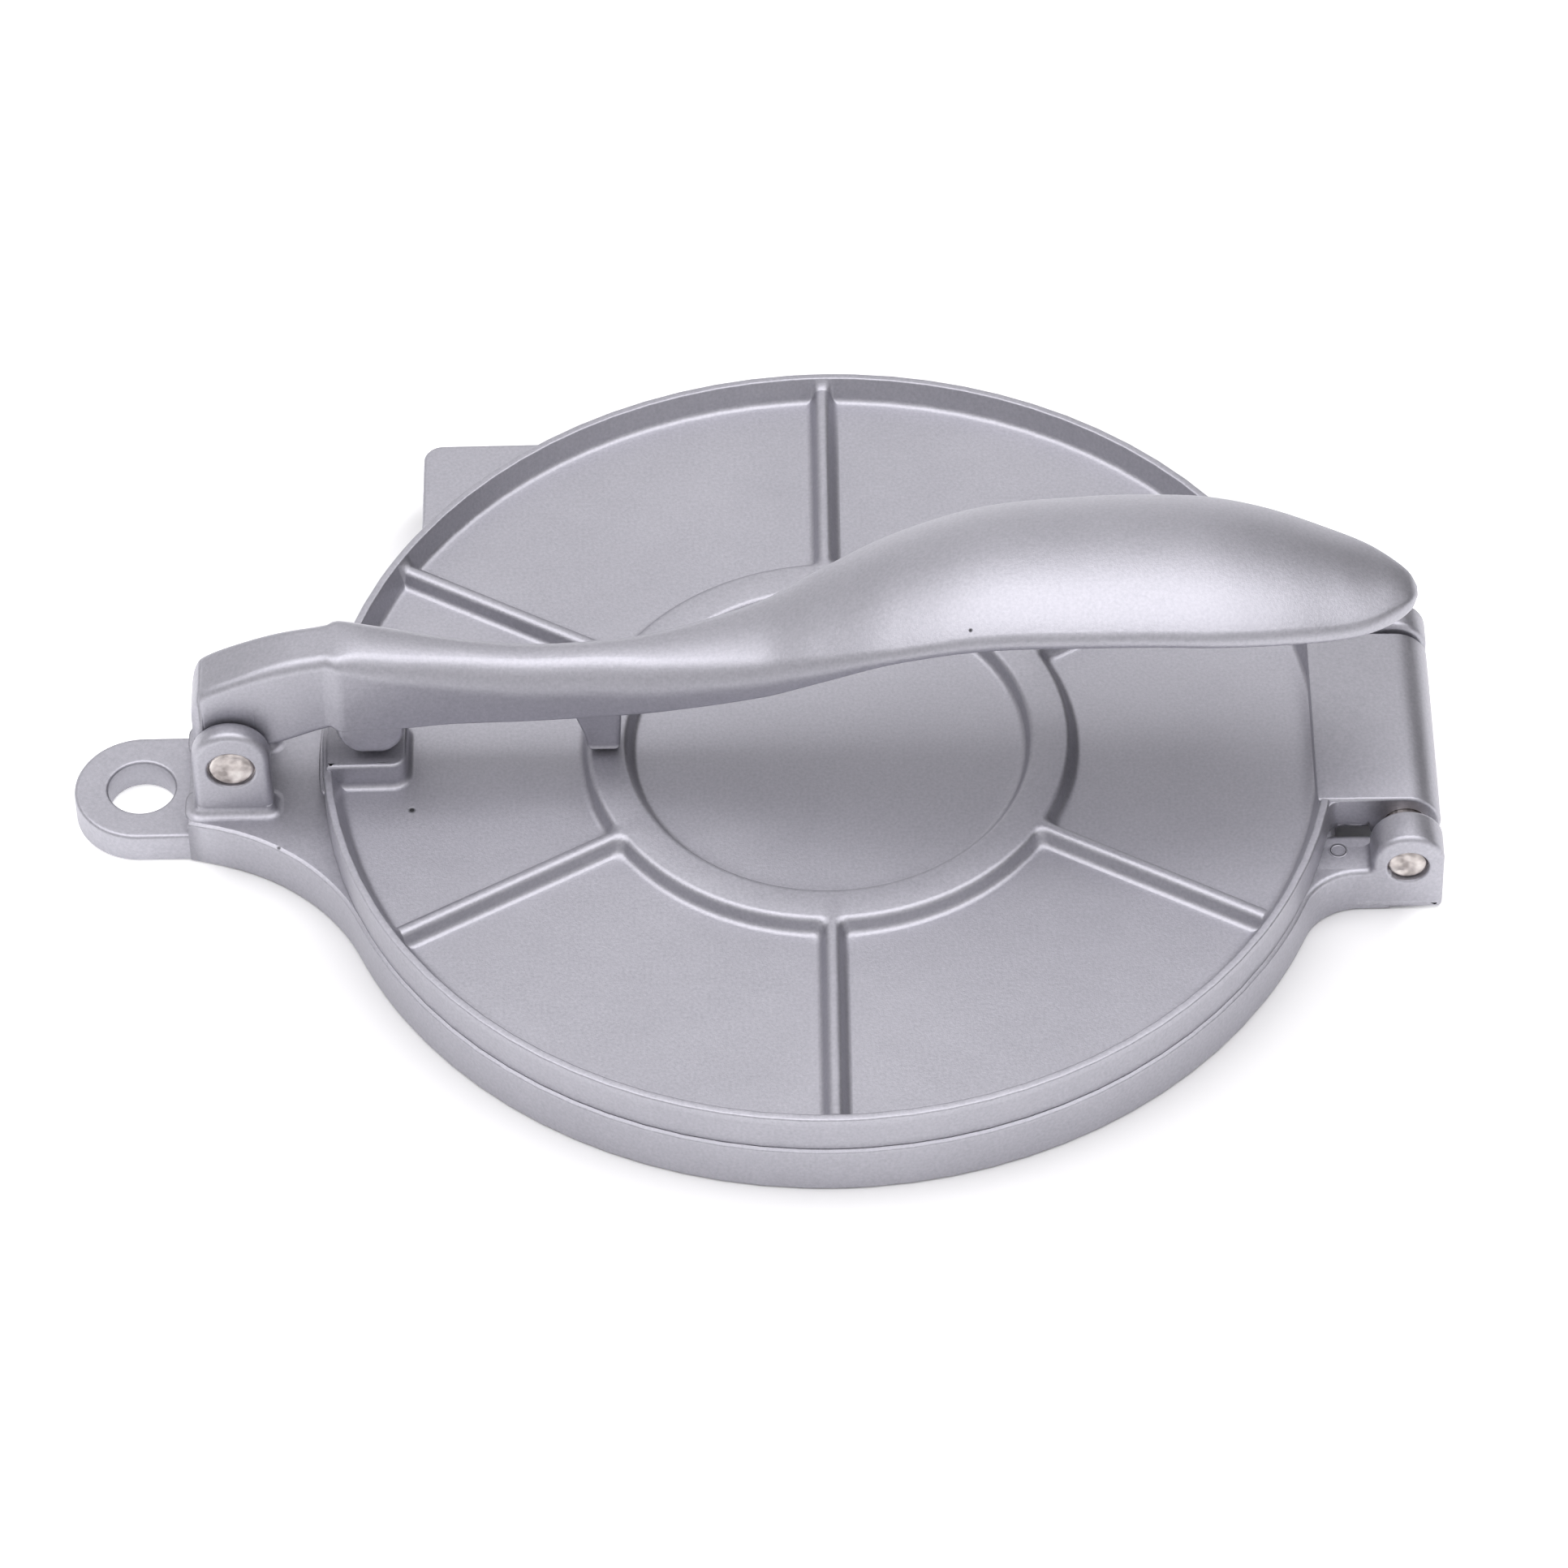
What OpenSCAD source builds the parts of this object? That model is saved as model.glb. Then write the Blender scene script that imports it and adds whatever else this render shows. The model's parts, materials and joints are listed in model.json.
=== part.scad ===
// Tortilla press: a cast base, a ribbed lid on a hinge pin and a lever on a pivot pin.
// Millimetres. X runs along the press, from the hanging eye (-X) to the lid's hinge (+X).
// The base stands on Z = 0 and the plates' common axis is X = Y = 0.

/* [Plates] */
// Radius of the lid's outer wall
lid_r = 101.5; // [85:0.5:112]
// How far the base stands out past the lid
base_lip = 0.8; // [0.2:0.1:3]
// Height of the base's pressing face
base_h = 11; // [9:0.5:13]
// Gap between the closed plates
plate_gap = 0.2; // [0.1:0.05:0.5]
// Thickness of the lid's plate
lid_plate = 2.9; // [2:0.1:4]
// Thickness of the base's plate
base_plate = 3; // [2:0.1:4]

/* [Lid relief] */
// Height of the rim above the lid's plate
rim_h = 5.5; // [4.5:0.1:7]
// Width of the rim's flat top
rim_w = 1.7; // [1.2:0.1:3]
// How far the rim's inner foot stands in from its top
rim_draft = 1.9; // [0.5:0.1:3]
// Number of ribs
rib_count = 6; // [4:1:8]
// Direction of the first rib
rib_angle = 30; // [20:1:40]
// Height of the ribs and of the ring
rib_h = 4.2; // [2:0.1:4.4]
// Width of a rib's top
rib_w = 1.9; // [1.4:0.1:3]
// How far a rib's or the ring's foot stands out past its top
rib_draft = 0.9; // [0.3:0.1:1.5]
// Inner radius of the ring
ring_in = 40.6; // [30:0.2:45]
// Width of the ring's top
ring_w = 7.7; // [5:0.1:10]

/* [Pressing pad] */
// Where the lever's nose presses, measured from the lever's pin
nose_reach = 27.9; // [26:0.1:32]
// Length of the pad beyond that point, towards the middle
pad_len = 6.8; // [4.5:0.1:8]
// Half width of the pad's top
pad_half = 8.1; // [6:0.1:10]
// Height of the pad above the rim
pad_over = 1.1; // [0.4:0.1:2]
// Radius of the pad's corners
pad_round = 3.2; // [1:0.1:4]

/* [Lifting lug] */
// Reach of the lug's outer corner along X
lug_x = 82.8; // [78:0.2:90]
// Reach of the lug's outer corner along Y
lug_y = 86; // [78:0.2:90]
// Thickness of the lug
lug_t = 4.8; // [3:0.1:6]
// Radius of the lug's corner
lug_round = 4; // [2:0.5:8]

/* [Lid hinge] */
// Distance from the plates' axis to the hinge pin
hinge_x = 114.3; // [112.5:0.1:124]
// Height of the hinge pin
hinge_z = 12.2; // [11.6:0.1:13]
// Radius of the hinge pin
hinge_pin_r = 4.1; // [3:0.1:4.6]
// Radius of the lid's knuckle
knuckle_r = 7.2; // [6.6:0.1:7.6]
// Reach of the knuckle on the near side
knuckle_near = 21.2; // [16:0.1:24]
// Gap between the knuckle's other end and the far fork arm
knuckle_play = 0.8; // [0.4:0.1:4]
// Half width of the gap between the fork arms
fork_half = 25; // [22:0.1:30]
// Thickness of a fork arm
fork_t = 7.3; // [5:0.1:9]
// Half width of a fork ear
fork_ear = 7.2; // [6.6:0.1:8]
// Height of the fork ear's arch above the pin
fork_rise = 1.2; // [0:0.1:3]
// Fillet between a fork arm and the disc
fork_fillet = 5; // [2:0.5:8]

/* [Arm and eye] */
// Distance from the plates' axis to the hanging eye
eye_x = 138.5; // [135:0.5:146]
// Radius of the hanging eye
eye_r = 6.8; // [4:0.1:9]
// Half width of the tab
tab_half = 13.6; // [11.5:0.1:15]
// Thickness of the tab
tab_t = 7; // [5:0.1:8.5]
// Length of the tab, from the eye to the step
step_run = 10; // [8:0.1:11]
// Radius of the arm's flare into the disc
flare_r = 45; // [30:1:60]
// Thickness of the base's outer wall
wall = 3; // [2:0.1:4]
// Radius of the hub under the base
hub_r = 8.2; // [6:0.1:12]
// Size of the cut along the base's and the lid's upper edges
edge_cut = 0.8; // [0.3:0.1:1.2]

/* [Lever pivot] */
// Distance from the plates' axis to the lever's pin
pivot_x = 119; // [117.5:0.1:121]
// Height of the lever's pin
pivot_z = 23.7; // [22.5:0.1:25]
// Radius of the lever's pin
pivot_pin_r = 4.8; // [3:0.1:5.2]
// Half width of a lever ear
ear_half = 7.8; // [7:0.1:8.4]
// Height of the ear's arch above the pin
ear_rise = 2.1; // [0:0.1:3]
// Thickness of a lever ear
ear_t = 4.8; // [3:0.1:6]

/* [Lever] */
// Width of the lever's block
block_w = 12.6; // [10:0.1:14]
// Gap between the block and each ear
side_gap = 0.3; // [0.2:0.05:0.6]
// Radius of the block's pivot boss
boss_r = 7.6; // [6.8:0.1:8.2]
// Length of the nose along the lever
nose_len = 13.6; // [10:0.1:16]
// Half width of the lever over its nose
nose_half = 6.9; // [6:0.1:8]
// Depth of the block's underside below the pin's axis
block_drop = 1; // [0:0.1:3]
// Height of the lever's top over its nose
block_top = 48.9; // [45:0.1:54]
// Height of the neck's upper edges at its lowest
neck_top = 42.3; // [40:0.1:46]
// Height of the neck's underside
neck_low = 30; // [28:0.1:32]
// Half width of the neck
neck_half = 6.5; // [5:0.1:8]
// Radius of the upper edges of block and neck
neck_round = 3.5; // [1.5:0.1:5]
// Radius of their lower edges
neck_under = 2.2; // [1:0.1:4]
// Height of the neck's crown
neck_crown = 2; // [0:0.1:3]
// Gap between the nose and the pad
nose_gap = 0.2; // [0.1:0.05:0.4]
// Length of the rest lug along the lever
rest_len = 6.3; // [5:0.1:7.4]
// Thickness of the rest lug
rest_t = 6.4; // [3:0.1:8]
// Gap between the rest lug and the ring
rest_gap = 0.3; // [0.2:0.1:1]
// Length of the lever beyond the plates' axis
grip_reach = 116.4; // [95:0.5:130]
// Half width of the grip
grip_half = 19.8; // [14:0.2:22]
// Height of the grip's edges at its highest
grip_z = 64.6; // [58:0.2:72]
// Thickness of the grip's edges
grip_edge = 3.4; // [2.5:0.1:5]
// Height of the grip's crown
grip_crown = 5.9; // [2:0.1:7]
// Depth of the hollow under the grip
grip_hollow = 3.6; // [0:0.1:4.5]

/* [Fits] */
// Running clearance of a pin in what turns on it, on the radius
run_fit = 0.06; // [0.03:0.01:0.1]
// How far a pin's end lies below its ear's face
pin_sink = 0.7; // [0.3:0.1:1.5]
// Size of the cut round a pin's ends
pin_cut = 0.5; // [0.2:0.1:0.8]

/* [Hidden] */

base_r = lid_r + base_lip;
lid_z = base_h + plate_gap;
floor_z = lid_z + lid_plate;
rim_z = floor_z + rim_h;
rib_z = floor_z + rib_h;
ring_out = ring_in + ring_w;
pad_z = rim_z + pad_over;
nose_x = -(pivot_x - nose_reach);
pad_x = nose_x + pad_len;
knuckle_far = fork_half - knuckle_play;
fork_out = fork_half + fork_t;
ear_in = block_w / 2 + side_gap;
ear_out = ear_in + ear_t;
step_x = -(eye_x - step_run);
// Centre of the flare: it touches the tab's side and the disc
flare_y = tab_half + flare_r;
flare_x = -sqrt(pow(base_r + flare_r, 2) - pow(flare_y, 2));
pocket_z = base_h - base_plate;
steel = [0.72, 0.69, 0.66];
alloy = [0.69, 0.69, 0.72];

// ---- Helpers ----

// A cylinder along Y between two ordinates, $fn high enough to stay a true bore
module pin_y(x, z, r, y0, y1) {
    translate([x, y0, z]) rotate([-90, 0, 0]) cylinder(r = r, h = y1 - y0, $fn = 64);
}

// Extrudes a shape drawn in X and Z along Y
module slab_y(y0, y1) {
    translate([0, y1, 0]) rotate([90, 0, 0]) linear_extrude(y1 - y0) children();
}

// An ear's outline: straight sides up to a round arch
module arch(x, foot, top_z, half) {
    translate([x - half, foot]) square([2 * half, top_z - foot]);
    translate([x, top_z]) circle(r = half, $fn = 64);
}

// A rib's wedge between two radii, standing on z0: narrow at the top, wide at the foot
module rib(r0, r1, z0, h, w, draft) {
    translate([r0, 0, z0]) rotate([90, 0, 90])
        linear_extrude(r1 - r0)
            polygon([[-w / 2 - draft, 0], [w / 2 + draft, 0], [w / 2, h], [-w / 2, h]]);
}

module ribs(r0, r1, z0, h, w, draft) {
    for (i = [0 : rib_count - 1])
        rotate(rib_angle + i * 360 / rib_count) rib(r0, r1, z0, h, w, draft);
}

// ---- Base ----

// The hollow under the base, a wall's width inside its outline
module hollow_plan() {
    circle(r = base_r - wall, $fn = 180);
    arm_plan(wall, -pivot_x + ear_half + wall);
}

// The arm between the disc and x0, with its flared sides drawn in by `inset`
module arm_plan(inset, x0) {
    difference() {
        translate([x0, -flare_y]) square([-x0 - base_r / 2, 2 * flare_y]);
        for (s = [-1, 1]) translate([flare_x, s * flare_y]) circle(r = flare_r + inset, $fn = 180);
        // Outside the flares' tangent points on the disc, the disc itself is the edge
        for (s = [0, 1]) mirror([0, s])
            translate([flare_x * base_r / (base_r + flare_r), flare_y * base_r / (base_r + flare_r)])
                square([base_r, flare_y]);
    }
}

module base_disc() {
    difference() {
        union() {
            rotate_extrude($fn = 180) polygon([
                [0, 0], [base_r, 0], [base_r, base_h - edge_cut], [base_r - edge_cut, base_h],
                [0, base_h]
            ]);
            linear_extrude(base_h) arm_plan(0, step_x);
        }
        // The hollow underside, which stops short of the lever's ears
        difference() {
            translate([0, 0, -1]) linear_extrude(pocket_z + 1) hollow_plan();
            under_ribs();
        }
    }
}

// The ribs, ring and hub that stiffen the underside and touch the table
module under_ribs() {
    translate([0, 0, pocket_z]) mirror([0, 0, 1])
        ribs(0, base_r - wall / 2, 0, pocket_z - 1, rib_w, rib_draft);
    rotate_extrude($fn = 120) polygon([
        [ring_in - rib_draft, pocket_z], [ring_in, 0], [ring_out, 0], [ring_out + rib_draft, pocket_z]
    ]);
    cylinder(r = hub_r, h = pocket_z, $fn = 64);
}

module tab() {
    linear_extrude(tab_t) {
        translate([-eye_x, 0]) circle(r = tab_half, $fn = 96);
        translate([-eye_x, -tab_half]) square([step_run + 1, 2 * tab_half]);
    }
}

module lever_ears() {
    for (s = [0, 1]) mirror([0, s, 0])
        slab_y(ear_in, ear_out)
            arch(-pivot_x, base_h - 1, pivot_z + ear_rise, ear_half);
}

module fork() {
    root = sqrt(pow(base_r, 2) - pow(fork_out, 2));
    for (s = [0, 1]) mirror([0, s, 0]) {
        slab_y(fork_half, fork_out) {
            arch(hinge_x, 0, hinge_z + fork_rise, fork_ear);
            translate([root - 2 * wall, 0]) square([hinge_x - root + 2 * wall, base_h]);
        }
        // Fillet in the corner between the arm and the disc
        linear_extrude(base_h) fork_corner(root);
    }
}

// The corner's fillet: a wedge with a circle cut out that touches the arm's side and the disc
module fork_corner(root) {
    cy = fork_out + fork_fillet;
    cx = sqrt(pow(base_r + fork_fillet, 2) - pow(cy, 2));
    difference() {
        polygon([
            [cx, fork_out - 1], [root - wall, fork_out - 1],
            [cx * base_r / (base_r + fork_fillet) - 1, cy * base_r / (base_r + fork_fillet) - 1],
            [cx * base_r / (base_r + fork_fillet), cy * base_r / (base_r + fork_fillet)],
            [cx, cy]
        ]);
        translate([cx, cy]) circle(r = fork_fillet, $fn = 64);
    }
}

module base() {
    color(alloy) difference() {
        union() {
            base_disc();
            tab();
            lever_ears();
            fork();
        }
        translate([-eye_x, 0, -1]) cylinder(r = eye_r, h = tab_t + 2, $fn = 64);
        pin_y(-pivot_x, pivot_z, pivot_pin_r, -ear_out - 1, ear_out + 1);
        pin_y(hinge_x, hinge_z, hinge_pin_r, -fork_out - 1, fork_out + 1);
    }
}

// ---- Lid ----

module lid_shell() {
    inner = lid_r - rim_w;
    rotate_extrude($fn = 180) polygon([
        [0, lid_z], [lid_r - edge_cut / 2, lid_z], [lid_r, lid_z + edge_cut / 2],
        [lid_r, rim_z - edge_cut], [lid_r - edge_cut, rim_z],
        [inner, rim_z], [inner - rim_draft, floor_z],
        [ring_out + rib_draft, floor_z], [ring_out, rib_z], [ring_in, rib_z],
        [ring_in - rib_draft, floor_z], [0, floor_z]
    ]);
}

// The raised pad that the lever's nose presses on, grown out of the rim
module pad() {
    x0 = -(lid_r - rim_w - 0.1);
    intersection() {
        translate([0, 0, lid_z + 1]) linear_extrude(pad_z - lid_z - 1) {
            translate([x0, -pad_half]) square([pad_x - pad_round - x0, 2 * pad_half]);
            translate([x0, -pad_half + pad_round])
                square([pad_x - x0, 2 * (pad_half - pad_round)]);
            for (s = [-1, 1]) translate([pad_x - pad_round, s * (pad_half - pad_round)])
                circle(r = pad_round, $fn = 48);
        }
        // Its back follows the rim
        cylinder(r = lid_r - 0.6, h = pad_z, $fn = 180);
    }
}

// The square-cornered lug that the lid is lifted by
module lifting_lug() {
    translate([0, 0, lid_z]) linear_extrude(lug_t) difference() {
        union() {
            translate([-lug_x, 0]) square([lug_x, lug_y - lug_round]);
            translate([-lug_x + lug_round, 0]) square([lug_x - lug_round, lug_y]);
            translate([-lug_x + lug_round, lug_y - lug_round]) circle(r = lug_round, $fn = 48);
        }
        circle(r = lid_r - 1, $fn = 180);
        translate([-lid_r / 2, 0]) square([lid_r, 2 * lid_r]);
        translate([-2 * lid_r, -lid_r / 2]) square([2 * lid_r, lid_r]);
    }
}

// The hinge tab, which turns down into the knuckle
module lid_hinge_tab() {
    top = hinge_z + knuckle_r;
    root = sqrt(pow(lid_r - rim_w, 2) - pow(knuckle_far, 2));
    slab_y(-knuckle_near, knuckle_far) {
        translate([root, lid_z]) square([hinge_x - root, top - lid_z]);
        translate([hinge_x, hinge_z]) circle(r = knuckle_r, $fn = 96);
    }
}

module lid() {
    color(alloy) difference() {
        union() {
            lid_shell();
            ribs(ring_out - 1, lid_r - rim_w - rim_draft / 2, floor_z, rib_h, rib_w, rib_draft);
            pad();
            lifting_lug();
            difference() {
                lid_hinge_tab();
                // The tab stops at the rim's inner wall
                translate([0, 0, floor_z]) cylinder(r = lid_r - rim_w + 0.2, h = rim_z, $fn = 180);
            }
        }
        pin_y(hinge_x, hinge_z, hinge_pin_r + run_fit, -fork_out, fork_out);
    }
}

// ---- Lever ----

// Stations of the loft along the lever: place, top, underside, half width, upper and lower edge
// radius, share of the width lost at the top, crown of the top and hollow of the underside.
// Places and heights between the named ones are shares of the way from one to the next.
block_half = block_w / 2;
left = -pivot_x - boss_r;
block_low = pivot_z - block_drop;
function mix(a, b, t) = a + (b - a) * t;
function over(t) = mix(pivot_z, block_top, t);
function dip(t) = mix(neck_top, block_top, t);
function rise(t) = mix(neck_top, grip_z, t);
function under(t) = mix(neck_low, grip_z, t);
function along(t) = mix(nose_x, grip_reach, t);
function grip(at, z, w, r, crown, hollow) =
    [at, z, z - grip_edge, grip_half * w, r, r, 0, grip_crown * crown, grip_hollow * hollow];
NR = neck_round;
NU = neck_under;
GR = 0.47 * grip_edge;
STATIONS = [
    [left, over(0.456), block_low, block_half, NR * 0.7, NU, 0.06, 0, 0],
    [mix(left, -pivot_x, 0.09), over(0.540), block_low, block_half, NR * 0.86, NU, 0.06, 0, 0],
    [mix(left, -pivot_x, 0.34), over(0.639), block_low, block_half, NR, NU, 0.06, 0, 0],
    [mix(-pivot_x, nose_x, 0.04), over(0.766), block_low, block_half, NR, NU, 0.06, 0, 0],
    [mix(-pivot_x, nose_x, 0.36), over(0.909), mix(block_low, neck_low, 0.36), block_half,
        NR, NU, 0.06, 0, 0],
    [mix(-pivot_x, nose_x, 0.735), block_top, mix(block_low, neck_low, 0.93), block_half,
        NR, NU, 0.06, 0, 0],
    [mix(-pivot_x, nose_x, 0.88), dip(0.95), neck_low, nose_half, NR, NU, 0.06, neck_crown * 0.4, 0],
    [nose_x, dip(0.83), under(0.005), nose_half, NR, NU, 0.06, neck_crown * 0.65, 0],
    [along(0.078), dip(0.29), under(-0.009), mix(neck_half, nose_half, 0.25), NR, NU, 0.06,
        neck_crown, 0],
    [along(0.150), neck_top, neck_low, neck_half, NR, NU, 0.06, neck_crown, 0],
    [along(0.217), rise(0.012), under(0.031), neck_half * 1.05, NR, NU, 0.06, neck_crown, 0],
    [along(0.280), rise(0.052), under(0.110), neck_half * 1.25, NR * 0.91, NU * 0.9, 0.04,
        neck_crown * 1.1, 0],
    [along(0.376), rise(0.256), under(0.300), grip_half * 0.55, NR * 0.74, NU * 0.9, 0,
        neck_crown * 1.25, grip_hollow * 0.05],
    [along(0.429), rise(0.471), under(0.491), grip_half * 0.692, NR * 0.57, NU * 0.9, 0,
        grip_crown * 0.51, grip_hollow * 0.3],
    grip(along(0.502), rise(0.753), 0.849, GR, 0.78, 0.7),
    grip(along(0.588), rise(0.987), 0.947, GR, 0.95, 1),
    grip(along(0.690), rise(1.049), 1, GR, 1, 1),
    grip(along(0.805), rise(1.034), 0.993, GR, 0.98, 1),
    grip(along(0.863), rise(0.945), 0.898, GR, 0.85, 1),
    grip(along(0.925), rise(0.821), 0.714, GR, 0.64, 0.7),
    grip(along(0.9566), rise(0.774), 0.560, GR, 0.42, 0.4),
    grip(along(0.9798), rise(0.745), 0.372, GR * 0.94, 0.25, 0.05),
    [along(0.9942), rise(0.713), rise(0.713) - grip_edge * 0.74, grip_half * 0.21,
        GR * 0.7, GR * 0.7, 0, grip_crown * 0.1, 0],
    [grip_reach, rise(0.677), rise(0.677) - grip_edge * 0.3, grip_half * 0.06,
        GR * 0.25, GR * 0.25, 0, 0, 0]
];

// A cubic through the stations' column c at place x, between rows i and i + 1
function slope(i, c) = let(a = max(i - 1, 0), b = min(i + 1, len(STATIONS) - 1))
    (STATIONS[b][c] - STATIONS[a][c]) / (STATIONS[b][0] - STATIONS[a][0]);
function hermite(i, x, c) = let(
        p = STATIONS[i], q = STATIONS[i + 1], d = q[0] - p[0], t = (x - p[0]) / d,
        t2 = t * t, t3 = t2 * t)
    (2 * t3 - 3 * t2 + 1) * p[c] + (t3 - 2 * t2 + t) * d * slope(i, c)
    + (3 * t2 - 2 * t3) * q[c] + (t3 - t2) * d * slope(i + 1, c);
SUB = 3;
PLACES = [for (i = [0 : len(STATIONS) - 2]) for (k = [0 : SUB - 1])
    [i, STATIONS[i][0] + k / SUB * (STATIONS[i + 1][0] - STATIONS[i][0])]];
ALL_PLACES = concat(PLACES, [[len(STATIONS) - 2, STATIONS[len(STATIONS) - 1][0]]]);

// One section of the lever: a rectangle with round corners, crowned above and hollowed below,
// whose sides lean in towards the top
ARC = [0, 30, 60, 90];
FLAT = [-0.75, -0.5, -0.25, 0, 0.25, 0.5, 0.75];
function section(i, x) = let(
        top = hermite(i, x, 1), low = hermite(i, x, 2), w = hermite(i, x, 3),
        cap = min(w * 0.9, (top - low) * 0.48),
        r = min(hermite(i, x, 4), cap), q = min(hermite(i, x, 5), cap), lean = hermite(i, x, 6),
        crown = hermite(i, x, 7), hollow = hermite(i, x, 8), f = w - r, g = w - q,
        at = function (y, z, h) [x, y * (1 - lean * (z - low) / (top - low)), z + h * (1 - pow(y / w, 2))])
    concat(
        [for (a = ARC) at(f + r * cos(a), top - r + r * sin(a), crown)],
        [for (k = FLAT) at(-k * f, top, crown)],
        [for (a = ARC) at(-f - r * sin(a), top - r + r * cos(a), crown)],
        [for (a = ARC) at(-g - q * cos(a), low + q - q * sin(a), hollow)],
        [for (k = FLAT) at(k * g, low, hollow)],
        [for (a = ARC) at(g + q * sin(a), low + q - q * cos(a), hollow)]
    );

module lever_loft() {
    rings = [for (p = ALL_PLACES) section(p[0], p[1])];
    n = len(rings[0]);
    m = len(rings);
    polyhedron(
        points = [for (s = rings) for (p = s) p],
        faces = concat(
            [[for (k = [0 : n - 1]) k]],
            [for (j = [0 : m - 2]) for (k = [0 : n - 1]) let(a = j * n + k, b = j * n + (k + 1) % n)
                each [[a, a + n, b], [b, a + n, b + n]]],
            [[for (k = [n - 1 : -1 : 0]) (m - 1) * n + k]]
        ),
        convexity = 6
    );
}

// The nose: a round-ended foot under the lever that presses the pad
module nose() {
    low = pad_z + nose_gap;
    h = nose_len / 2;
    deep = neck_low - low;
    across = 1.6 * nose_half;
    intersection() {
        // Seen from the side it is half an ellipse
        slab_y(-nose_half, nose_half) polygon(concat(
            [for (a = [0 : 7.5 : 180]) [nose_x - h * cos(a), neck_low - deep * sin(a)]],
            [[nose_x + h, neck_low + neck_under], [nose_x - h, neck_low + neck_under]]));
        // Rounded across as well, so that it bears in the middle
        translate([nose_x, 0, low + across]) rotate([0, 90, 0])
            cylinder(r = across, h = 3 * nose_len, center = true, $fn = 96);
        // Seen from above it has round corners
        translate([nose_x, 0, low]) linear_extrude(neck_top) offset(r = neck_under)
            square([nose_len - 2 * neck_under, 2 * (nose_half - neck_under)], center = true);
    }
}

// The lug that stops the lever on the ring
module rest_lug() {
    low = rib_z + rest_gap;
    up = neck_low + neck_round;
    slab_y(-rest_t / 2, rest_t / 2) polygon([
        [-ring_out - rest_len / 2, up], [-ring_out, low], [-ring_out + rest_len, low],
        [-ring_out + rest_len * 1.05, up]
    ]);
}

module lever() {
    color(alloy) difference() {
        union() {
            lever_loft();
            pin_y(-pivot_x, pivot_z, boss_r, -block_half, block_half);
            nose();
            rest_lug();
        }
        pin_y(-pivot_x, pivot_z, pivot_pin_r + run_fit, -block_w, block_w);
    }
}

// ---- Pins ----

// A pin between two faces, its ends sunk and chamfered
module steel_pin(x, z, r, half) {
    e = half - pin_sink;
    color(steel) translate([x, 0, z]) rotate([90, 0, 0]) rotate_extrude($fn = 64)
        polygon([[0, -e], [r - pin_cut, -e], [r, -e + pin_cut], [r, e - pin_cut], [r - pin_cut, e], [0, e]]);
}

module hinge_pin() {
    steel_pin(hinge_x, hinge_z, hinge_pin_r, fork_out);
}

module lever_pin() {
    steel_pin(-pivot_x, pivot_z, pivot_pin_r, ear_out);
}

base();
lid();
lever();
hinge_pin();
lever_pin();
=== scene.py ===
# %% [markdown]
# # A cast tortilla press
#
# The real press is three aluminium castings on two steel pins. The base carries a flat plate, an
# arm with a hanging eye, two ears for the lever and two for the lid. The lid is a ribbed disc. The
# lever presses on a pad at the lid's edge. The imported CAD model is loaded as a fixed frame, and
# each casting is then drawn again as a smooth surface with rounded edges and fillets, because the
# narrow highlights along those edges are what makes the metal look cast.

# %% Load the frame
import json
import math

import bpy
import numpy as np
from mathutils import Matrix, Vector
from mathutils.geometry import tessellate_polygon

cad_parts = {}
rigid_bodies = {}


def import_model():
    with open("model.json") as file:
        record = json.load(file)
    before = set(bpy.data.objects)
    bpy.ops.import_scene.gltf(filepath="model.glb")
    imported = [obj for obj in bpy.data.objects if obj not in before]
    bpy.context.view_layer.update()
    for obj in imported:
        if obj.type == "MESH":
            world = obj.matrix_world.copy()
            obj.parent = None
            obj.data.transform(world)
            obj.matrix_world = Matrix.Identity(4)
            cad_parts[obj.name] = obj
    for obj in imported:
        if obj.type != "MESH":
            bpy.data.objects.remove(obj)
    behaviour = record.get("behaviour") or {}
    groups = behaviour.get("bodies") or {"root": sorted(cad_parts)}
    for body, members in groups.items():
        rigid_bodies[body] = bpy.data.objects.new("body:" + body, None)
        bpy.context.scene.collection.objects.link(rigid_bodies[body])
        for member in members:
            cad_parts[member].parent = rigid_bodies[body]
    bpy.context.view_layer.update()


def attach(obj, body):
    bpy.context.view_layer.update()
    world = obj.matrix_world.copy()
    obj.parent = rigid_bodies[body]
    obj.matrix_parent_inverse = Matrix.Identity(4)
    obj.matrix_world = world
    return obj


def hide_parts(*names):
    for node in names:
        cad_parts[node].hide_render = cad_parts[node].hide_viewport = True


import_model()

# %% [markdown]
# ## Sizes
#
# All lengths below are millimetres in the CAD's frame: X runs from the hanging eye to the lid's
# hinge, and the base stands on Z = 0. They repeat the CAD's sizes. The edge radii and the fillets
# are new, and a few surfaces of the lid, the fork and the lever lie a little off the solid's.

# %% Sizes of the press
MM = 0.001
LID_R, BASE_R = 101.5, 102.3
BASE_H, LID_Z, FLOOR_Z, RIM_Z, RIB_Z = 11.0, 11.2, 14.1, 19.6, 18.3
RIM_W, RIM_DRAFT = 1.7, 1.9
RIB_W, RIB_DRAFT, RIB_ANGLE, RIB_COUNT = 2.3, 0.9, 30.0, 6
RING_IN, RING_OUT = 40.6, 48.3
RING_MID, RING_HALF = (RING_IN + RING_OUT) / 2, (RING_OUT - RING_IN) / 2
POCKET_Z, WALL, HUB_R, HUB_DRAFT, HOLLOW_END = 8.0, 3.0, 8.2, 0.7, -108.2
PIVOT_X, PIVOT_Z, PIVOT_R, BOSS_R, BOSS_HALF = -119.0, 23.7, 4.8, 7.6, 6.3
HINGE_X, HINGE_Z, HINGE_R, KNUCKLE_R = 114.3, 12.2, 4.1, 7.2
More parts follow.
